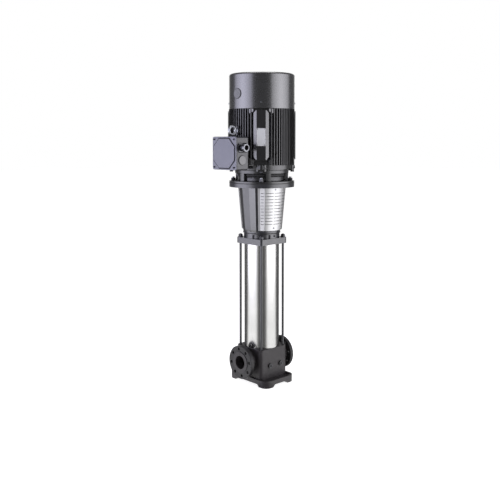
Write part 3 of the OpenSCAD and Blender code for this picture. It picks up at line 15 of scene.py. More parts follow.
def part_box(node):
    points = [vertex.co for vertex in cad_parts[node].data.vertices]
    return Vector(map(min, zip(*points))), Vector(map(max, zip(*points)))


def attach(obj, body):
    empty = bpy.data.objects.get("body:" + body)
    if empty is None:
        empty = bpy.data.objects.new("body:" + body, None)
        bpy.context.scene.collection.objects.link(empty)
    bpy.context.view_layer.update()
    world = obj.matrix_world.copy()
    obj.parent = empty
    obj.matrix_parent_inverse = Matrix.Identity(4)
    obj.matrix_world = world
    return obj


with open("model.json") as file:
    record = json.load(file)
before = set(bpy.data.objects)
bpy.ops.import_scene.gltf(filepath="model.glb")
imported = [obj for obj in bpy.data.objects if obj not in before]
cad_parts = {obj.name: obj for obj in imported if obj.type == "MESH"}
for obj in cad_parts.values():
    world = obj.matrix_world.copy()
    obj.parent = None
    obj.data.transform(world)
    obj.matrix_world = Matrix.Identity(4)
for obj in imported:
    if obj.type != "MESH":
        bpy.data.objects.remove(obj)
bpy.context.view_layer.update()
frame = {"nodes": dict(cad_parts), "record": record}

# Camera, fitted to the photograph: it stands at CAM_TURN from the front, about level with the nameplate
FOCAL_PX = 710.5
IMAGE_PX = 500
SENSOR_MM = 36
CAM_DISTANCE = 4.370
CAM_HEIGHT = 1.4806
CAM_SIDE = 0.0725
CAM_TURN = math.radians(42.98)
CAM_TILT = math.radians(2.49)
HORIZON_PX = 171.63

TO_CAMERA = Vector((-math.sin(CAM_TURN), -math.cos(CAM_TURN), 0))
TO_RIGHT = Vector((math.cos(CAM_TURN), -math.sin(CAM_TURN), 0))


def add_camera():
    data = bpy.data.cameras.new("camera")
    data.sensor_width = SENSOR_MM
    data.lens = FOCAL_PX / IMAGE_PX * data.sensor_width
    data.shift_y = (HORIZON_PX - IMAGE_PX / 2) / IMAGE_PX
    cam = bpy.data.objects.new("camera", data)
    bpy.context.scene.collection.objects.link(cam)
    cam.location = TO_CAMERA * CAM_DISTANCE - TO_RIGHT * CAM_SIDE + Vector((0, 0, CAM_HEIGHT))
    look = -TO_CAMERA * math.cos(CAM_TILT) - Vector((0, 0, math.sin(CAM_TILT)))
    cam.rotation_mode = "QUATERNION"
    cam.rotation_quaternion = look.to_track_quat("-Z", "Y")
    bpy.context.scene.camera = cam


# Materials

# Sockets of the Mix node that carry colours
MIX_FIRST, MIX_SECOND, MIX_RESULT = 6, 7, 2

# How far noise is stretched into fine lines that run up the shaft or round it
LINES = {"z": (160, 160, 3), "round": (6, 6, 420)}
LINE_DEPTH = 0.000006

SMALL_EDGE = 0.0006
MOULD_GRAIN = 900
SHEET_STEP = 0.0011
RING_SCALE = 0.159155 / SHEET_STEP


def add_node(tree, kind, inputs=(), **settings):
    """Adds a shader node; each input is a plain value or the socket that feeds it."""
    node = tree.nodes.new("ShaderNode" + kind)
    for key, value in settings.items():
        setattr(node, key, value)
    for key, value in dict(inputs).items():
        if isinstance(value, bpy.types.NodeSocket):
            tree.links.new(value, node.inputs[key])
        else:
            node.inputs[key].default_value = value
    return node


class Nodes:
    """A material's node tree with short calls for the nodes used here."""

    def __init__(self, name):
        self.material = bpy.data.materials.new(name)
        self.material.use_nodes = True
        self.tree = self.material.node_tree
        self.shader = self.tree.nodes["Principled BSDF"]

    def add(self, kind, inputs=(), **settings):
        return add_node(self.tree, kind, inputs, **settings)

    def place(self, stretch=(1, 1, 1)):
        """The point's position in metres, stretched along each axis."""
        coords = self.add("TexCoord")
        mapping = self.add("Mapping", {"Vector": coords.outputs["Object"], "Scale": stretch})
        return mapping.outputs["Vector"]

    def noise(self, scale, detail=4, roughness=0.55, stretch=(1, 1, 1)):
        inputs = {"Vector": self.place(stretch), "Scale": scale, "Detail": detail, "Roughness": roughness}
        return self.add("TexNoise", inputs).outputs["Fac"]

    def span(self, value, low, high, start=0.3, end=0.7):
        """Maps value from start..end to low..high."""
        inputs = {"Value": value, "From Min": start, "From Max": end, "To Min": low, "To Max": high}
        return self.add("MapRange", inputs).outputs["Result"]

    def mix(self, factor, first, second):
        """Blends two colours, each given as numbers or as a socket."""
        inputs = {"Factor": factor}
        for key, value in ((MIX_FIRST, first), (MIX_SECOND, second)):
            inputs[key] = value if isinstance(value, bpy.types.NodeSocket) else (*value, 1)
        return self.add("Mix", inputs, data_type="RGBA").outputs[MIX_RESULT]

    def colour(self, socket):
        self.tree.links.new(socket, self.shader.inputs["Base Color"])

    def roughness(self, socket):
        self.tree.links.new(socket, self.shader.inputs["Roughness"])

    def relief(self, height, depth, strength, edge=0.0):
        """Bumps the surface by height times depth metres, over edges softened by the radius edge."""
        inputs = {"Height": height, "Distance": depth, "Strength": strength}
        if edge:
            inputs["Normal"] = self.add("Bevel", {"Radius": edge}, samples=6).outputs["Normal"]
        bump = self.add("Bump", inputs)
        self.tree.links.new(bump.outputs["Normal"], self.shader.inputs["Normal"])

    def set(self, **values):
        for key, value in values.items():
            self.shader.inputs[key.replace("_", " ")].default_value = value


def shade(colour, factor):
    return tuple(min(1.0, c * factor) for c in colour)


def cast_paint(name, colour, roughness, grain, edge, specular):
    """Paint over a casting: fine sand grain, slow waves, faint dust and softened edges."""
    n = Nodes(name)
    slow = n.noise(scale=9, detail=3)
    sand = n.noise(scale=grain, detail=5, roughness=0.65)
    dust = n.noise(scale=45, detail=6, roughness=0.7)
    tint = n.mix(n.span(slow, 0, 1), shade(colour, 0.86), shade(colour, 1.16))
    n.colour(n.mix(n.span(dust, 0, 0.35, start=0.52, end=0.72), tint, shade(colour, 1.6)))
    n.roughness(n.span(dust, roughness - 0.05, roughness + 0.09))
    n.relief(sand, depth=0.00035, strength=0.55, edge=edge)
    n.set(Specular_IOR_Level=specular)
    return n.material


def gloss_paint(name, colour, roughness, edge, coat=1.0, specular=1.0, coat_ior=1.9):
    """Smooth factory paint: orange peel, slight tone changes and softened edges."""
    n = Nodes(name)
    slow = n.noise(scale=6, detail=2)
    peel = n.noise(scale=420, detail=2)
    smudge = n.noise(scale=28, detail=5, roughness=0.6)
    n.colour(n.mix(n.span(slow, 0, 1), shade(colour, 0.92), shade(colour, 1.1)))
    n.roughness(n.span(smudge, roughness - 0.04, roughness + 0.07))
    n.relief(peel, depth=0.000025, strength=0.5, edge=edge)
    n.set(Specular_IOR_Level=specular, Coat_Weight=coat, Coat_IOR=coat_ior, Coat_Roughness=0.2)
    return n.material


def drawn_steel(name, colour, roughness, along, edge=0.0):
    """Rolled or turned bare metal with fine lines; along is a key of LINES."""
    n = Nodes(name)
    lines = n.noise(scale=6, detail=6, roughness=0.7, stretch=LINES[along])
    cloud = n.noise(scale=7, detail=3)
    n.colour(n.mix(n.span(cloud, 0, 1), shade(colour, 0.93), shade(colour, 1.05)))
    n.roughness(n.span(lines, roughness - 0.05, roughness + 0.1))
    n.relief(lines, depth=LINE_DEPTH, strength=0.5, edge=edge)
    n.set(Metallic=1.0)
    return n.material


def printed_plate(name, colour):
    """Satin aluminium under clear lacquer, brushed along the plate."""
    n = Nodes(name)
    lines = n.noise(scale=6, detail=6, roughness=0.7, stretch=LINES["z"])
    n.colour(n.mix(n.span(lines, 0, 1), shade(colour, 0.92), shade(colour, 1.04)))
    n.roughness(n.span(lines, 0.32, 0.46))
    n.relief(lines, depth=LINE_DEPTH, strength=0.5)
    n.set(Metallic=0.2, Coat_Weight=0.3)
    return n.material


def plated(name, colour, roughness, tint):
    """Zinc or black plating: blotches of another tone, fine scratches."""
    n = Nodes(name)
    blotch = n.noise(scale=60, detail=4, roughness=0.6)
    scratch = n.noise(scale=700, detail=3)
    n.colour(n.mix(n.span(blotch, 0, 1, start=0.42, end=0.6), colour, tint))
    n.roughness(n.span(scratch, roughness - 0.06, roughness + 0.1))
    n.relief(scratch, depth=0.00002, strength=0.6, edge=SMALL_EDGE)
    n.set(Metallic=1.0)
    return n.material


def moulded(name, colour, roughness):
    """Plastic or rubber with a fine moulded grain."""
    n = Nodes(name)
    fine = n.noise(scale=MOULD_GRAIN, detail=3)
    slow = n.noise(scale=25, detail=3)
    n.colour(n.mix(n.span(slow, 0, 1), shade(colour, 0.85), shade(colour, 1.15)))
    n.roughness(n.span(fine, roughness - 0.06, roughness + 0.06))
    n.relief(fine, depth=0.00004, strength=0.5, edge=SMALL_EDGE)
    return n.material


def laminated(name, colour):
    """Stacked sheets, seen as fine rings; a light and a dark ring together span about two sheets."""
    n = Nodes(name)
    inputs = {"Vector": n.place(), "Scale": RING_SCALE, "Distortion": 0.0}
    rings = n.add("TexWave", inputs, wave_type="BANDS", bands_direction="Z").outputs["Fac"]
    n.colour(n.mix(rings, shade(colour, 0.7), shade(colour, 1.15)))
    n.relief(rings, depth=0.0002, strength=0.6)
    n.set(Metallic=0.9, Roughness=0.42)
    return n.material


def wound_copper(name, colour):
    """Bundled enamel wire under varnish."""
    n = Nodes(name)
    strands = n.noise(scale=40, detail=6, roughness=0.75, stretch=(9, 9, 1))
    n.colour(n.mix(n.span(strands, 0, 1, start=0.35, end=0.65), shade(colour, 0.45), shade(colour, 1.3)))
    n.relief(strands, depth=0.0012, strength=0.8)
    n.set(Metallic=0.7, Roughness=0.34, Coat_Weight=0.5)
    return n.material


FINISHES = {
    cast_paint: {
        "base_casting": dict(
            colour=(0.038, 0.033, 0.035), roughness=0.50, grain=260, edge=0.0025, specular=0.6
        ),
        "flange_iron": dict(
            colour=(0.021, 0.0195, 0.0205), roughness=0.46, grain=320, edge=0.0012, specular=0.5
        ),
    },
    gloss_paint: {
        "pump_paint": dict(
            colour=(0.028, 0.028, 0.034), roughness=0.36, edge=0.0020, coat=0.45, specular=0.6
        ),
        # Shaded copy of pump_paint, darker and glossier, for the lantern's bevels: painted shade
        "bevel_paint": dict(
            colour=(0.014, 0.014, 0.018), roughness=0.32, edge=0.0012, coat=0.72, specular=0.8
        ),
        "carbide": dict(colour=(0.05, 0.055, 0.06), roughness=0.16, edge=0.0004),
        "motor_paint": dict(
            colour=(0.008, 0.008, 0.009), roughness=0.36, edge=0.0012, coat=0.5, specular=0.6
        ),
        "cover_paint": dict(colour=(0.011, 0.011, 0.014), roughness=0.27, edge=0.0012, coat_ior=2.0),
        "box_paint": dict(
            colour=(0.014, 0.014, 0.019), roughness=0.36, edge=0.0015, coat=0.35, specular=0.6
        ),
        "box_cover_paint": dict(
            colour=(0.18, 0.183, 0.235), roughness=0.42, edge=0.0018, coat=0.3, specular=0.6
        ),
        "plug_plastic": dict(
            colour=(0.016, 0.016, 0.019), roughness=0.34, edge=0.0008, coat=0.7, specular=0.8
        ),
    },
    drawn_steel: {
        "sleeve_steel": dict(colour=(0.56, 0.556, 0.548), roughness=0.19, along="round"),
        "bolt_steel": dict(colour=(0.12, 0.12, 0.125), roughness=0.40, along="z"),
        "stainless": dict(colour=(0.66, 0.66, 0.67), roughness=0.24, along="round"),
        "guard_steel": dict(colour=(0.64, 0.64, 0.64), roughness=0.46, along="round"),
        "coupling_metal": dict(colour=(0.33, 0.33, 0.34), roughness=0.34, along="round", edge=0.001),
        "shaft_steel": dict(colour=(0.60, 0.60, 0.62), roughness=0.22, along="round", edge=0.0006),
        "bearing_steel": dict(colour=(0.72, 0.73, 0.75), roughness=0.10, along="round"),
    },
    plated: {
        "plug_steel": dict(colour=(0.09, 0.09, 0.095), roughness=0.42, tint=(0.05, 0.05, 0.052)),
        "zinc_steel": dict(colour=(0.32, 0.325, 0.345), roughness=0.34, tint=(0.24, 0.25, 0.28)),
        "nut_steel": dict(colour=(0.10, 0.10, 0.105), roughness=0.40, tint=(0.07, 0.07, 0.075)),
        "black_screws": dict(colour=(0.045, 0.045, 0.05), roughness=0.38, tint=(0.03, 0.03, 0.032)),
        "eye_zinc": dict(colour=(0.60, 0.61, 0.64), roughness=0.42, tint=(0.50, 0.52, 0.57)),
        "gland_plastic": dict(colour=(0.30, 0.305, 0.325), roughness=0.34, tint=(0.20, 0.205, 0.22)),
    },
    moulded: {
        "seal_rubber": dict(colour=(0.02, 0.02, 0.02), roughness=0.6),
        "wear_ring": dict(colour=(0.74, 0.74, 0.70), roughness=0.45),
        "fan_plastic": dict(colour=(0.022, 0.022, 0.023), roughness=0.48),
        "terminal_plastic": dict(colour=(0.20, 0.05, 0.025), roughness=0.4),
    },
    laminated: {"laminations": dict(colour=(0.30, 0.30, 0.32))},
    wound_copper: {"copper": dict(colour=(0.50, 0.20, 0.08))},
    printed_plate: {"plate_aluminium": dict(colour=(0.96, 0.98, 1.0))},
}

LOOKS = {name: make(name, **values) for make, looks in FINISHES.items() for name, values in looks.items()}


def dress_frame():
    for part in frame["record"]["subparts"]:
        node = frame["nodes"][part["node"]]
        node.data.materials.clear()
        node.data.materials.append(LOOKS[part["material_slot"]])


# Pieces, in millimetres until make_piece scales them

MM = 0.001
TURN = 2 * math.pi
QUARTER = math.radians(90)

# Strips, stay bolts and motor studs all stand at the four corners
CORNERS = [math.radians(a) for a in (-135, -45, 45, 135)]

# Ports and their loose flanges
PORT_Z = 140
FLANGE_FACE_X = 179.5

# Pump head with its stay bolts, lantern, and motor flange with its studs. The stay nuts sit at HEAD_Z, the stud
# nuts on the motor flange, and a washer with its nut is NUT_TOP high.
HEAD_Z = 888
HEAD_TOP = 920
STAY_BOLT_XY = 92.3
LANTERN_TOP = 1225
LANTERN_COLUMNS = 0, math.pi
MOTOR_FLANGE_TOP = 1237
STUD_R = 175
NUT_TOP = 16.2

# Lantern's cone, as radius and height at its foot and at its top
CONE_FOOT = 114, 928
CONE_TOP = 135, 1174

# Terminal box: its middle, the joint with its cover, the groove in that cover, and the cable entries in its side
BOX_Z = 1407
BOX_FRONT = 298
BOX_HALF_Z = 97
BOX_HALF_Y = 103
BOX_CORNER_R = 10
GROOVE_FLOOR_X = -302
ENTRY_X = -258
PLUG_Z = 1367
GLAND_Z = 1440
POCKET_BACK = 81

# Motor: corner strips with the nameplate, ears at the frame's foot, fan cover and its plug
STRIP_R = 206
PLATE_Z = 1502
FRAME_TOP = 1672
EAR_R = 198
EAR_HALF = 31
COVER_R = 201
COVER_PLUG_Z = FRAME_TOP + 89
COVER_PLUG_R = 30


def make_piece(name, bm, slot_name, body="pump", crease=32, look=None):
    """Gives the mesh a finish, hangs it on its body and smooths edges that turn less than crease degrees."""
    mesh = bpy.data.meshes.new(name)
    bmesh.ops.recalc_face_normals(bm, faces=bm.faces)
    bm.transform(Matrix.Scale(MM, 4))
    bm.to_mesh(mesh)
    bm.free()
    mesh.shade_smooth()
    mesh.set_sharp_from_angle(angle=math.radians(crease))
    mesh.materials.append(LOOKS[look or slot_name])
    obj = bpy.data.objects.new(name, mesh)
    bpy.context.scene.collection.objects.link(obj)
    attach(obj, body)


def skin(bm, sections, closed):
    """Joins sections of equally many points; an open row of sections gets a lid at each end."""
    rows = [[bm.verts.new(p) for p in section] for section in sections]
    size = len(rows[0])
    for i in range(len(rows) if closed else len(rows) - 1):
        first, second = rows[i], rows[(i + 1) % len(rows)]
        for j in range(size):
            k = (j + 1) % size
            bm.faces.new((first[j], second[j], second[k], first[k]))
    if not closed:
        bm.faces.new(rows[0])
        bm.faces.new(rows[-1])


def lathe(bm, profile, place=None, start=0.0, span=TURN, steps=96):
    """Turns a closed profile of (radius, height) about Z, then puts it in place."""
    place = place or Matrix()
    closed = span >= TURN
    angles = [start + span * i / steps for i in range(steps if closed else steps + 1)]
    sections = [
        [place @ Vector((r * math.cos(a), r * math.sin(a), h)) for r, h in profile] for a in angles
    ]
    skin(bm, sections, closed)


def facing(angle, radius, height):
    """Matrix for a part that stands radially: its Z points away from the shaft at this angle."""
    out = Vector((math.cos(angle), math.sin(angle), 0))
    place = out.to_track_quat("Z", "Y").to_matrix().to_4x4()
    place.translation = out * radius + Vector((0, 0, height))
    return place


def at_entry(y, z):
    """Matrix for a part in the terminal box's side: its Z points out of the box, along -Y."""
    return Matrix.Translation((ENTRY_X, y, z)) @ Matrix.Rotation(QUARTER, 4, "X")


def rounded_outline(half_w, half_h, radius, steps=8):
    """Points of a rectangle with rounded corners, about its middle."""
    points = []
    for side, up, start in ((1, 1, 0), (-1, 1, 90), (-1, -1, 180), (1, -1, 270)):
        middle_x, middle_y = side * (half_w - radius), up * (half_h - radius)
        for i in range(steps + 1):
            a = math.radians(start + 90 * i / steps)
            points.append((middle_x + radius * math.cos(a), middle_y + radius * math.sin(a)))
    return points


def octagon(half_h, half_w, cut):
    """Points of a rectangle whose corners are cut off slantwise."""
    return [
        (-half_h, cut - half_w), (-half_h, half_w - cut), (cut - half_h, half_w), (half_h - cut, half_w),
        (half_h, half_w - cut), (half_h, cut - half_w), (half_h - cut, -half_w), (cut - half_h, -half_w),
    ]


def lantern_facets(bm, edges):
    """Flat faces on both side columns; edges are (degrees from the column's middle, mm off the cone)."""
    (foot_r, foot_z), (top_r, top_z) = CONE_FOOT, CONE_TOP
    depth = 5
    for side in LANTERN_COLUMNS:
        sections = []
        for z, fade in ((929, 0.1), (935, 0.7), (941, 1.0), (1060, 1.0), (1190, 1.0), (1199, 0.8)):
            cone = foot_r + (top_r - foot_r) * (z - foot_z) / (top_z - foot_z)
            outer = [(cone + off * fade, a) for a, off in edges]
            inner = [(cone - depth, a) for a, _ in reversed(edges)]
            ring = [(r, side + math.radians(a)) for r, a in outer + inner]
            sections.append([Vector((r * math.cos(a), r * math.sin(a), z)) for r, a in ring])
        skin(bm, sections, closed=False)


def add_lantern_flats():
    """A broad flat down the middle of each side column, and a bevel on either side of it in a darker, glossier
    copy of the pump paint that paints their shade.
    """
    proud, middle, shoulder, end, sharp = 3.0, 12, 29.5, 35, 6
    bm = bmesh.new()
    lantern_facets(bm, [(-shoulder, 1.0), (-middle, proud), (middle, proud), (shoulder, 1.0)])
    make_piece("lantern_flats", bm, "pump_paint", crease=sharp)
    bm = bmesh.new()
    for side in (-1, 1):
        lantern_facets(bm, [(side * (middle + 0.1), proud), (side * shoulder, proud), (side * end, 0.3)])
    # The bevels are the same paint as the lantern; this darker copy paints their shade
    make_piece("lantern_bevels", bm, "pump_paint", crease=sharp, look="bevel_paint")


def add_shield_drum():
    """Bearing hub wall behind the windows of the drive end shield, with a dark ring above it that paints the
    shade inside the shield.
    """
    bm = bmesh.new()
    drum = [(132, 1239), (144, 1239), (146, 1241), (146, 1262), (143.5, 1266), (132, 1266)]
    lathe(bm, drum, steps=144)
    make_piece("shield_drum", bm, "motor_paint")
    bm = bmesh.new()
    # Painted shade: a near-black ring stands where the inside of the shield falls in shade
    shade_ring = [(132, 1266), (147.5, 1266.5), (149, 1268), (149, 1284), (132, 1284)]
    lathe(bm, shade_ring, steps=144)
    make_piece("shield_painted_shade", bm, "seal_rubber")


def add_neck_pads():
    """Rounds the head's neck at its four corners, each with two shallow framed pockets."""
    bm = bmesh.new()
    half, pocket_near, pocket_far = math.radians(31.3), math.radians(9), math.radians(29.5)
    outer, floor_r, inner = 110.2, 104, 92
    back = [(inner, HEAD_Z), (floor_r, HEAD_Z), (floor_r, HEAD_TOP - 4), (inner, HEAD_TOP - 4)]
    rim = [
        (inner, HEAD_TOP - 9), (outer - 0.8, HEAD_TOP - 9), (outer, HEAD_TOP - 8.2),
        (outer, HEAD_TOP - 3.2), (outer - 1, HEAD_TOP - 2.2), (inner, HEAD_TOP - 2.2),
    ]
    wall = [(inner, HEAD_Z), (outer, HEAD_Z), (outer, HEAD_TOP - 8), (inner, HEAD_TOP - 8)]
    for centre in CORNERS:
        for profile in (back, rim):
            lathe(bm, profile, start=centre - half, span=2 * half, steps=24)
        for start, end in ((-half, -pocket_far), (-pocket_near, pocket_near), (pocket_far, half)):
            lathe(bm, wall, start=centre + start, span=end - start, steps=8)
    make_piece("neck_pads", bm, "pump_paint")


def add_joint_painted_shade():
    """Dark rings at the joints where the lantern stands on the head and where the motor flange lies on the
    lantern: painted shade in the joints.
    """
    bm = bmesh.new()
    z = HEAD_TOP
    lathe(bm, [(104, z - 3.4), (112, z - 3.4), (115.2, z - 2), (115.6, z), (115, z + 2), (106, z + 2)])
    z = LANTERN_TOP
    upper = [
        (196, z - 2.4), (199.9, z - 2.4), (200.5, z - 1), (200.5, z + 1), (199.9, z + 2.4), (196, z + 2.4)
    ]
    lathe(bm, upper, steps=144)
    # Painted shade: near-black rings stand in for the shade that falls in these joints
    make_piece("joint_painted_shade", bm, "seal_rubber")


def add_box_gasket_and_shade():
    """Rubber gasket between the terminal box and its cover, dark so that it also paints the shade in the gap
    there.
    """
    bm = bmesh.new()
    sections = []
    for depth, out in ((-1.6, -1.5), (-1.6, 0.2), (-0.9, 0.9), (0.9, 0.9), (1.6, 0.2), (1.6, -1.5)):
        outline = rounded_outline(BOX_HALF_Y + out, BOX_HALF_Z + out, BOX_CORNER_R + out)
        sections.append([Vector((-BOX_FRONT + depth, y, BOX_Z + z)) for y, z in outline])
    skin(bm, sections, closed=True)
    # Partly a real gasket, partly painted shade in the gap between box and cover
    make_piece("box_gasket_and_shade", bm, "seal_rubber")


def add_plug_rims_and_shade():
    """Rubber rings under the heads of the two blanking plugs; dark, they also paint the shade round the plugs'
    edges.
    """
    bm = bmesh.new()
    flat = [(25, -0.5), (28.4, -0.5), (29, 0.6), (28.6, 1.6), (27, 2.1), (25, 2.1)]
    lathe(bm, flat, at_entry(-BOX_HALF_Y, PLUG_Z), steps=64)
    # The ring on the fan cover is bent round the cover; its profile is (wider, further out)
    bent = [(-1.6, -1), (-1.6, 0.9), (-0.8, 1.5), (0.8, 1.5), (1.6, 0.9), (1.6, -1)]
    steps = 64
    rows = []
    for i in range(steps):
        a = TURN * i / steps
        row = []
        for wider, out in bent:
            r = COVER_PLUG_R + wider
            y = r * math.cos(a)
            row.append(Vector((-math.sqrt(COVER_R**2 - y**2) - out, y, COVER_PLUG_Z + r * math.sin(a))))
        rows.append(row)
    skin(bm, rows, closed=True)
    # Partly real seal rings, partly painted shade round the plug edges
    make_piece("plug_rims_and_shade", bm, "seal_rubber")


def add_gland_rim():
    """Rounded collar round the mouth of the cable gland, with clamping ribs behind it."""
    gland_low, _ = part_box("cable_gland")
    place = at_entry(gland_low.y / MM, GLAND_Z)
    bm = bmesh.new()
    collar = [(15.2, -2), (15.2, 0.6), (16.2, 1.5), (19, 1.6), (21.6, 0.9), (22.6, -0.6), (22.6, -2)]
    lathe(bm, collar, place, steps=64)
    for rib in (-7, -11, -15):
        profile = [(18, rib - 1.2), (22, rib - 1.2), (23, rib), (22, rib + 1.2), (18, rib + 1.2)]
        lathe(bm, profile, place, steps=64)
    make_piece("gland_rim", bm, "gland_plastic")


def add_pocket_painted_shade():
    """Dark sheet that lines the pocket the cable gland stands in, with a rolled lip; it paints the shade inside
    the pocket.
    """
    left, right, bottom, top = -285.6, -224.4, 1413.4, 1467.6
    back, front, lip, corner_r = -POCKET_BACK + 0.5, -103.6, 1.4, 4
    mid_x, mid_z = (left + right) / 2, (bottom + top) / 2
    bm = bmesh.new()
    rows = []
    for y, out in ((front + 0.8, lip), (front, lip), (front, 0), (back + 3, -0.8), (back, -3), (back, -23)):
        outline = rounded_outline((right - left) / 2 + out, (top - bottom) / 2 + out, corner_r)
        rows.append([Vector((mid_x + x, y, mid_z + z)) for x, z in outline])
    for first, second in zip(rows, rows[1:]):
        a, b = [bm.verts.new(v) for v in first], [bm.verts.new(v) for v in second]
        for j in range(len(a)):
            k = (j + 1) % len(a)
            bm.faces.new((a[j], b[j], b[k], a[k]))
    bmesh.ops.remove_doubles(bm, verts=bm.verts, dist=0.01)
    # Painted shade: the near-black sheet darkens the pocket, which has no such lining of its own
    make_piece("pocket_painted_shade", bm, "seal_rubber")


def add_plate_rivets():
    """Four domed rivets that hold the nameplate."""
    bm = bmesh.new()
    dome = [(0.01, -0.8), (3.2, -0.8), (3.2, 0.2), (2.7, 1.1), (1.6, 1.7), (0.01, 1.9)]
    for side in (-21, 21):
        for up in (-47, 47):
            place = facing(CORNERS[0], STRIP_R, PLATE_Z + up) @ Matrix.Translation((side, 0, 0))
            lathe(bm, dome, place, steps=20)
    make_piece("plate_rivets", bm, "zinc_steel")


def add_thread_ends():
    """Turns of thread on the free ends of the stay bolts and motor studs."""
    bm = bmesh.new()
    axis_r, root, crest, pitch, turns = 0.01, 7.4, 8.15, 1.0, 3
    for distance, seat in ((STAY_BOLT_XY * math.sqrt(2), HEAD_Z), (STUD_R, MOTOR_FLANGE_TOP)):
        base = seat + NUT_TOP
        profile = [(axis_r, base), (root, base)]
        for i in range(turns):
            z = base + i * pitch
            profile += [(crest, z + 0.4 * pitch), (crest, z + 0.6 * pitch), (root, z + pitch)]
        profile += [(root - 1.4, base + 4.2), (axis_r, base + 4.4)]
        for angle in CORNERS:
            place = Matrix.Translation((distance * math.cos(angle), distance * math.sin(angle), 0))
            lathe(bm, profile, place, steps=28)
    make_piece("thread_ends", bm, "nut_steel")


def add_flange_rims():
    """Rounded rim round the front face of each loose flange, close to its outer edge."""
    rim = [(97.2, -4), (99.2, -0.4), (98.6, 0.5), (97.4, 1.1), (95.6, 0.6), (94.6, -0.5), (94.6, -4)]
    for side, body in ((-1, "inlet_flange"), (1, "outlet_flange")):
        place = Matrix.Translation((side * FLANGE_FACE_X, 0, PORT_Z)) @ Matrix.Rotation(side * QUARTER, 4, "Y")
        bm = bmesh.new()
        lathe(bm, rim, place)
        make_piece(body + "_rim", bm, "flange_iron", body)


def at_strips(bm, sections):
    """Skins the (sideways, radius, height) sections at all four strips, on both sides of each."""
    for angle in CORNERS:
        out = Vector((math.cos(angle), math.sin(angle), 0))
        side = Vector((-out.y, out.x, 0))
        for mirror in (-1, 1):
            rows = [[out * r + side * mirror * s + Vector((0, 0, z)) for s, r, z in row] for row in sections]
            skin(bm, rows, closed=False)


def add_strip_edges():
    """Broad bevels along the four strips, cut back to a point at both ends."""
    inner_s, inner_r = 26.9, 205.9
    outer_s, outer_r = 45, 198.4
    bm = bmesh.new()
    rows = []
    for z, width in ((1368, 0.06), (1377, 0.62), (1386, 1.0), (1642, 1.0), (1651, 0.62), (1660, 0.06)):
        s = inner_s + (outer_s - inner_s) * width
        r = inner_r + (outer_r - inner_r) * width
        rows.append([(inner_s, inner_r, z), (s, r, z), (s - 0.6, r - 4, z), (inner_s, inner_r - 6, z)])
    at_strips(bm, rows)
    make_piece("strip_edges", bm, "motor_paint", crease=20, look="cover_paint")


def add_corner_bosses():
    """Slanted bosses beside both ends of every strip."""
    bm = bmesh.new()
    near, far, near_r, back_r, round_off = 47, 71, 199.5, 178, 1.5
    upper = 1651, 1640, 1669, 1669, 188.5
    lower = 1334, 1334, 1369, 1380, 196
    for low_near, low_far, high_near, high_far, far_r in (upper, lower):
        rows = []
        for z_near, z_far, cut in (
            (low_near, low_far, round_off),
            (low_near + round_off, low_far + round_off, 0),
            (high_near - round_off, high_far - round_off, 0),
            (high_near, high_far, round_off),
        ):
            face = [(near, near_r - cut, z_near), (far, far_r - cut, z_far)]
            rows.append(face + [(far, back_r, z_far), (near, back_r, z_near)])
        at_strips(bm, rows)
    make_piece("corner_bosses", bm, "motor_paint", crease=20, look="cover_paint")


def add_ear_wedges():
    """Pair of slanted wedges on each ear at the frame's foot, either side of its screw."""
    bm = bmesh.new()
    near, front, depth = 5, EAR_R + 0.4, 4
    rows = []
    for z, far, rise in (
        (1311.5, EAR_HALF - 2, 5.5), (1314, EAR_HALF - 1, 6.5), (1326, EAR_HALF - 9, 5.0), (1337, 9, 1.0)
    ):
        back = front - depth
        rows.append([(near, front + rise, z), (far, front, z), (far, back, z), (near, back, z)])
    at_strips(bm, rows)
    make_piece("ear_wedges", bm, "motor_paint", crease=20, look="cover_paint")


def add_cover_groove_shade():
    """Dark strip on the floor of the groove round the cover's panel; it paints the shade in the groove."""
    half_h, half_w, cut = 85, 91, 46
    # Keeps the slanted sides as far out as the straight ones
    cut_growth = 0.586
    bm = bmesh.new()
    floor_x = GROOVE_FLOOR_X - 0.05
    rows = []
    for depth, out in ((0, 0.3), (-1.2, 0.3), (-1.9, 1.4), (-1.9, 4.4), (-1.2, 5.6), (0, 5.6)):
        outline = octagon(half_h + out, half_w + out, cut + cut_growth * out)
        rows.append([Vector((floor_x + depth, y, BOX_Z + z)) for z, y in outline])
    skin(bm, rows, closed=True)
    # Painted shade: a near-black inlay stands where shade falls in the groove
    make_piece("cover_groove_painted_shade", bm, "seal_rubber")


def add_pieces():
    add_strip_edges()
    add_corner_bosses()
    add_ear_wedges()
    add_cover_groove_shade()
    add_lantern_flats()
    add_shield_drum()
    add_neck_pads()
    add_joint_painted_shade()
    add_box_gasket_and_shade()
    add_plug_rims_and_shade()
    add_gland_rim()
    add_pocket_painted_shade()
    add_plate_rivets()
    add_thread_ends()
    add_flange_rims()


# Light and background

FLOOR_SIZE = 60
FLOOR_COLOUR = 0.8, 0.8, 0.8, 1
FLOOR_GLOW = 0.85
FLOOR_SIDE_LEVEL = 1.45
WORLD_LEVEL = 0.25
ROOM_LEVEL = 0.15
WHITE_LEVEL = 1.0

# Where gloss shows the soft boxes: their angle from the camera, and how far off it they start to fade and end
BOX_TURN = math.radians(66)
BOX_SPAN = math.radians(26), math.radians(46)

# Where gloss shows the backdrop, as cosines of the angle from the camera: in full, and no longer
BACKDROP_SPAN = -0.97, -0.85

LAMP_AIM_Z = 0.95
SIDE_BOX = dict(distance=3.0, height=1.2, width=4.4, tall=4.4, power=36, spread=95)


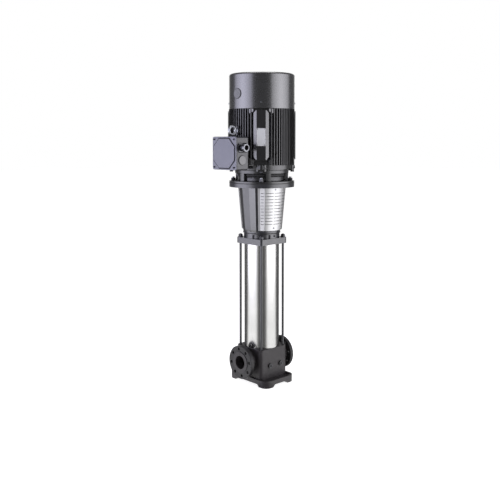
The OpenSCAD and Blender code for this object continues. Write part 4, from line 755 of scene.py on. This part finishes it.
def room_level(tree, direction, side_level):
    """What gloss shows in a direction from the pump.

    A dim room in front, side_level towards the soft boxes, and the white backdrop behind.
    """
    front = add_node(tree, "VectorMath", {0: direction, 1: TO_CAMERA}, operation="DOT_PRODUCT").outputs["Value"]
    angle = add_node(tree, "Math", {0: front}, operation="ARCCOSINE").outputs[0]
    off_box = add_node(tree, "Math", {0: angle, 1: BOX_TURN}, operation="SUBTRACT").outputs[0]
    off_box = add_node(tree, "Math", {0: off_box}, operation="ABSOLUTE").outputs[0]
    near, far = BOX_SPAN
    fade = {"Value": off_box, "From Min": near, "From Max": far, "To Min": side_level, "To Max": ROOM_LEVEL}
    boxes = add_node(tree, "MapRange", fade, interpolation_type="SMOOTHSTEP").outputs[0]
    full, none = BACKDROP_SPAN
    fade = {"Value": front, "From Min": full, "From Max": none, "To Min": WHITE_LEVEL, "To Max": 0.0}
    backdrop = add_node(tree, "MapRange", fade).outputs[0]
    return add_node(tree, "Math", {0: boxes, 1: backdrop}, operation="MAXIMUM").outputs[0]


def seen_directly(tree, path):
    """1 for rays from the camera, straight or through glass, and 0 for all others."""
    rays = {0: path.outputs["Is Camera Ray"], 1: path.outputs["Is Transmission Ray"]}
    return add_node(tree, "Math", rays, operation="MAXIMUM").outputs[0]


def add_floor():
    mesh = bpy.data.meshes.new("floor")
    half = FLOOR_SIZE / 2
    corners = [(-half, -half, 0), (half, -half, 0), (half, half, 0), (-half, half, 0)]
    mesh.from_pydata(corners, [], [(0, 1, 2, 3)])
    floor = bpy.data.objects.new("floor", mesh)
    bpy.context.scene.collection.objects.link(floor)
    # Lit and shadowed as a pale floor, with enough glow of its own to end up white where no shadow falls
    n = Nodes("floor")
    n.set(Base_Color=FLOOR_COLOUR, Roughness=0.8, Specular_IOR_Level=0.2)
    path = n.add("LightPath")
    glow = n.add("Math", {0: seen_directly(n.tree, path), 1: FLOOR_GLOW}, operation="MULTIPLY")
    glow = n.add("Emission", {"Strength": glow.outputs[0]})
    lit = n.add("AddShader", {0: n.shader.outputs[0], 1: glow.outputs[0]})
    away = n.add("VectorMath", {0: n.add("NewGeometry").outputs["Position"]}, operation="NORMALIZE")
    mirrored = n.add("Emission", {"Strength": room_level(n.tree, away.outputs["Vector"], FLOOR_SIDE_LEVEL)})
    shown = n.add("MixShader", {0: path.outputs["Is Glossy Ray"], 1: lit.outputs[0], 2: mirrored.outputs[0]})
    n.tree.links.new(shown.outputs[0], n.tree.nodes["Material Output"].inputs["Surface"])
    mesh.materials.append(n.material)


def add_lamp(name, turn, distance, height, width, tall, power, spread=180, colour=(1, 1, 1)):
    """Soft box at turn degrees from the camera, seen from the pump; it points at the pump's middle."""
    data = bpy.data.lights.new(name, "AREA")
    data.shape = "RECTANGLE"
    data.size = width
    data.size_y = tall
    data.energy = power
    data.color = colour
    data.spread = math.radians(spread)
    lamp = bpy.data.objects.new(name, data)
    bpy.context.scene.collection.objects.link(lamp)
    direction = Matrix.Rotation(math.radians(turn), 3, "Z") @ TO_CAMERA
    lamp.location = direction * distance + Vector((0, 0, height))
    target = Vector((0, 0, LAMP_AIM_Z))
    lamp.rotation_mode = "QUATERNION"
    lamp.rotation_quaternion = (target - lamp.location).to_track_quat("-Z", "Y")


def add_world():
    """Dim for light, the room's pattern for gloss, and white for the camera."""
    world = bpy.data.worlds.new("world")
    bpy.context.scene.world = world
    world.use_nodes = True
    tree = world.node_tree
    path = add_node(tree, "LightPath")
    room = room_level(tree, add_node(tree, "TexCoord").outputs["Generated"], ROOM_LEVEL)
    level = {"Factor": path.outputs["Is Glossy Ray"], "A": WORLD_LEVEL, "B": room}
    level = add_node(tree, "Mix", level, data_type="FLOAT").outputs["Result"]
    shown = {"Factor": seen_directly(tree, path), "A": level, "B": WHITE_LEVEL}
    shown = add_node(tree, "Mix", shown, data_type="FLOAT").outputs["Result"]
    background = tree.nodes["Background"]
    tree.links.new(shown, background.inputs["Strength"])
    background.inputs["Color"].default_value = (1, 1, 1, 1)


add_camera()
dress_frame()
add_pieces()
add_floor()
add_world()
add_lamp("left_box", turn=-70, colour=(0.93, 0.92, 1.14), **SIDE_BOX)
add_lamp("right_box", turn=68, colour=(0.98, 0.97, 1.04), **SIDE_BOX)
add_lamp("top_box", turn=180, distance=0.6, height=4.2, width=2.0, tall=2.0, power=40)

bpy.context.scene.view_settings.view_transform = "Standard"
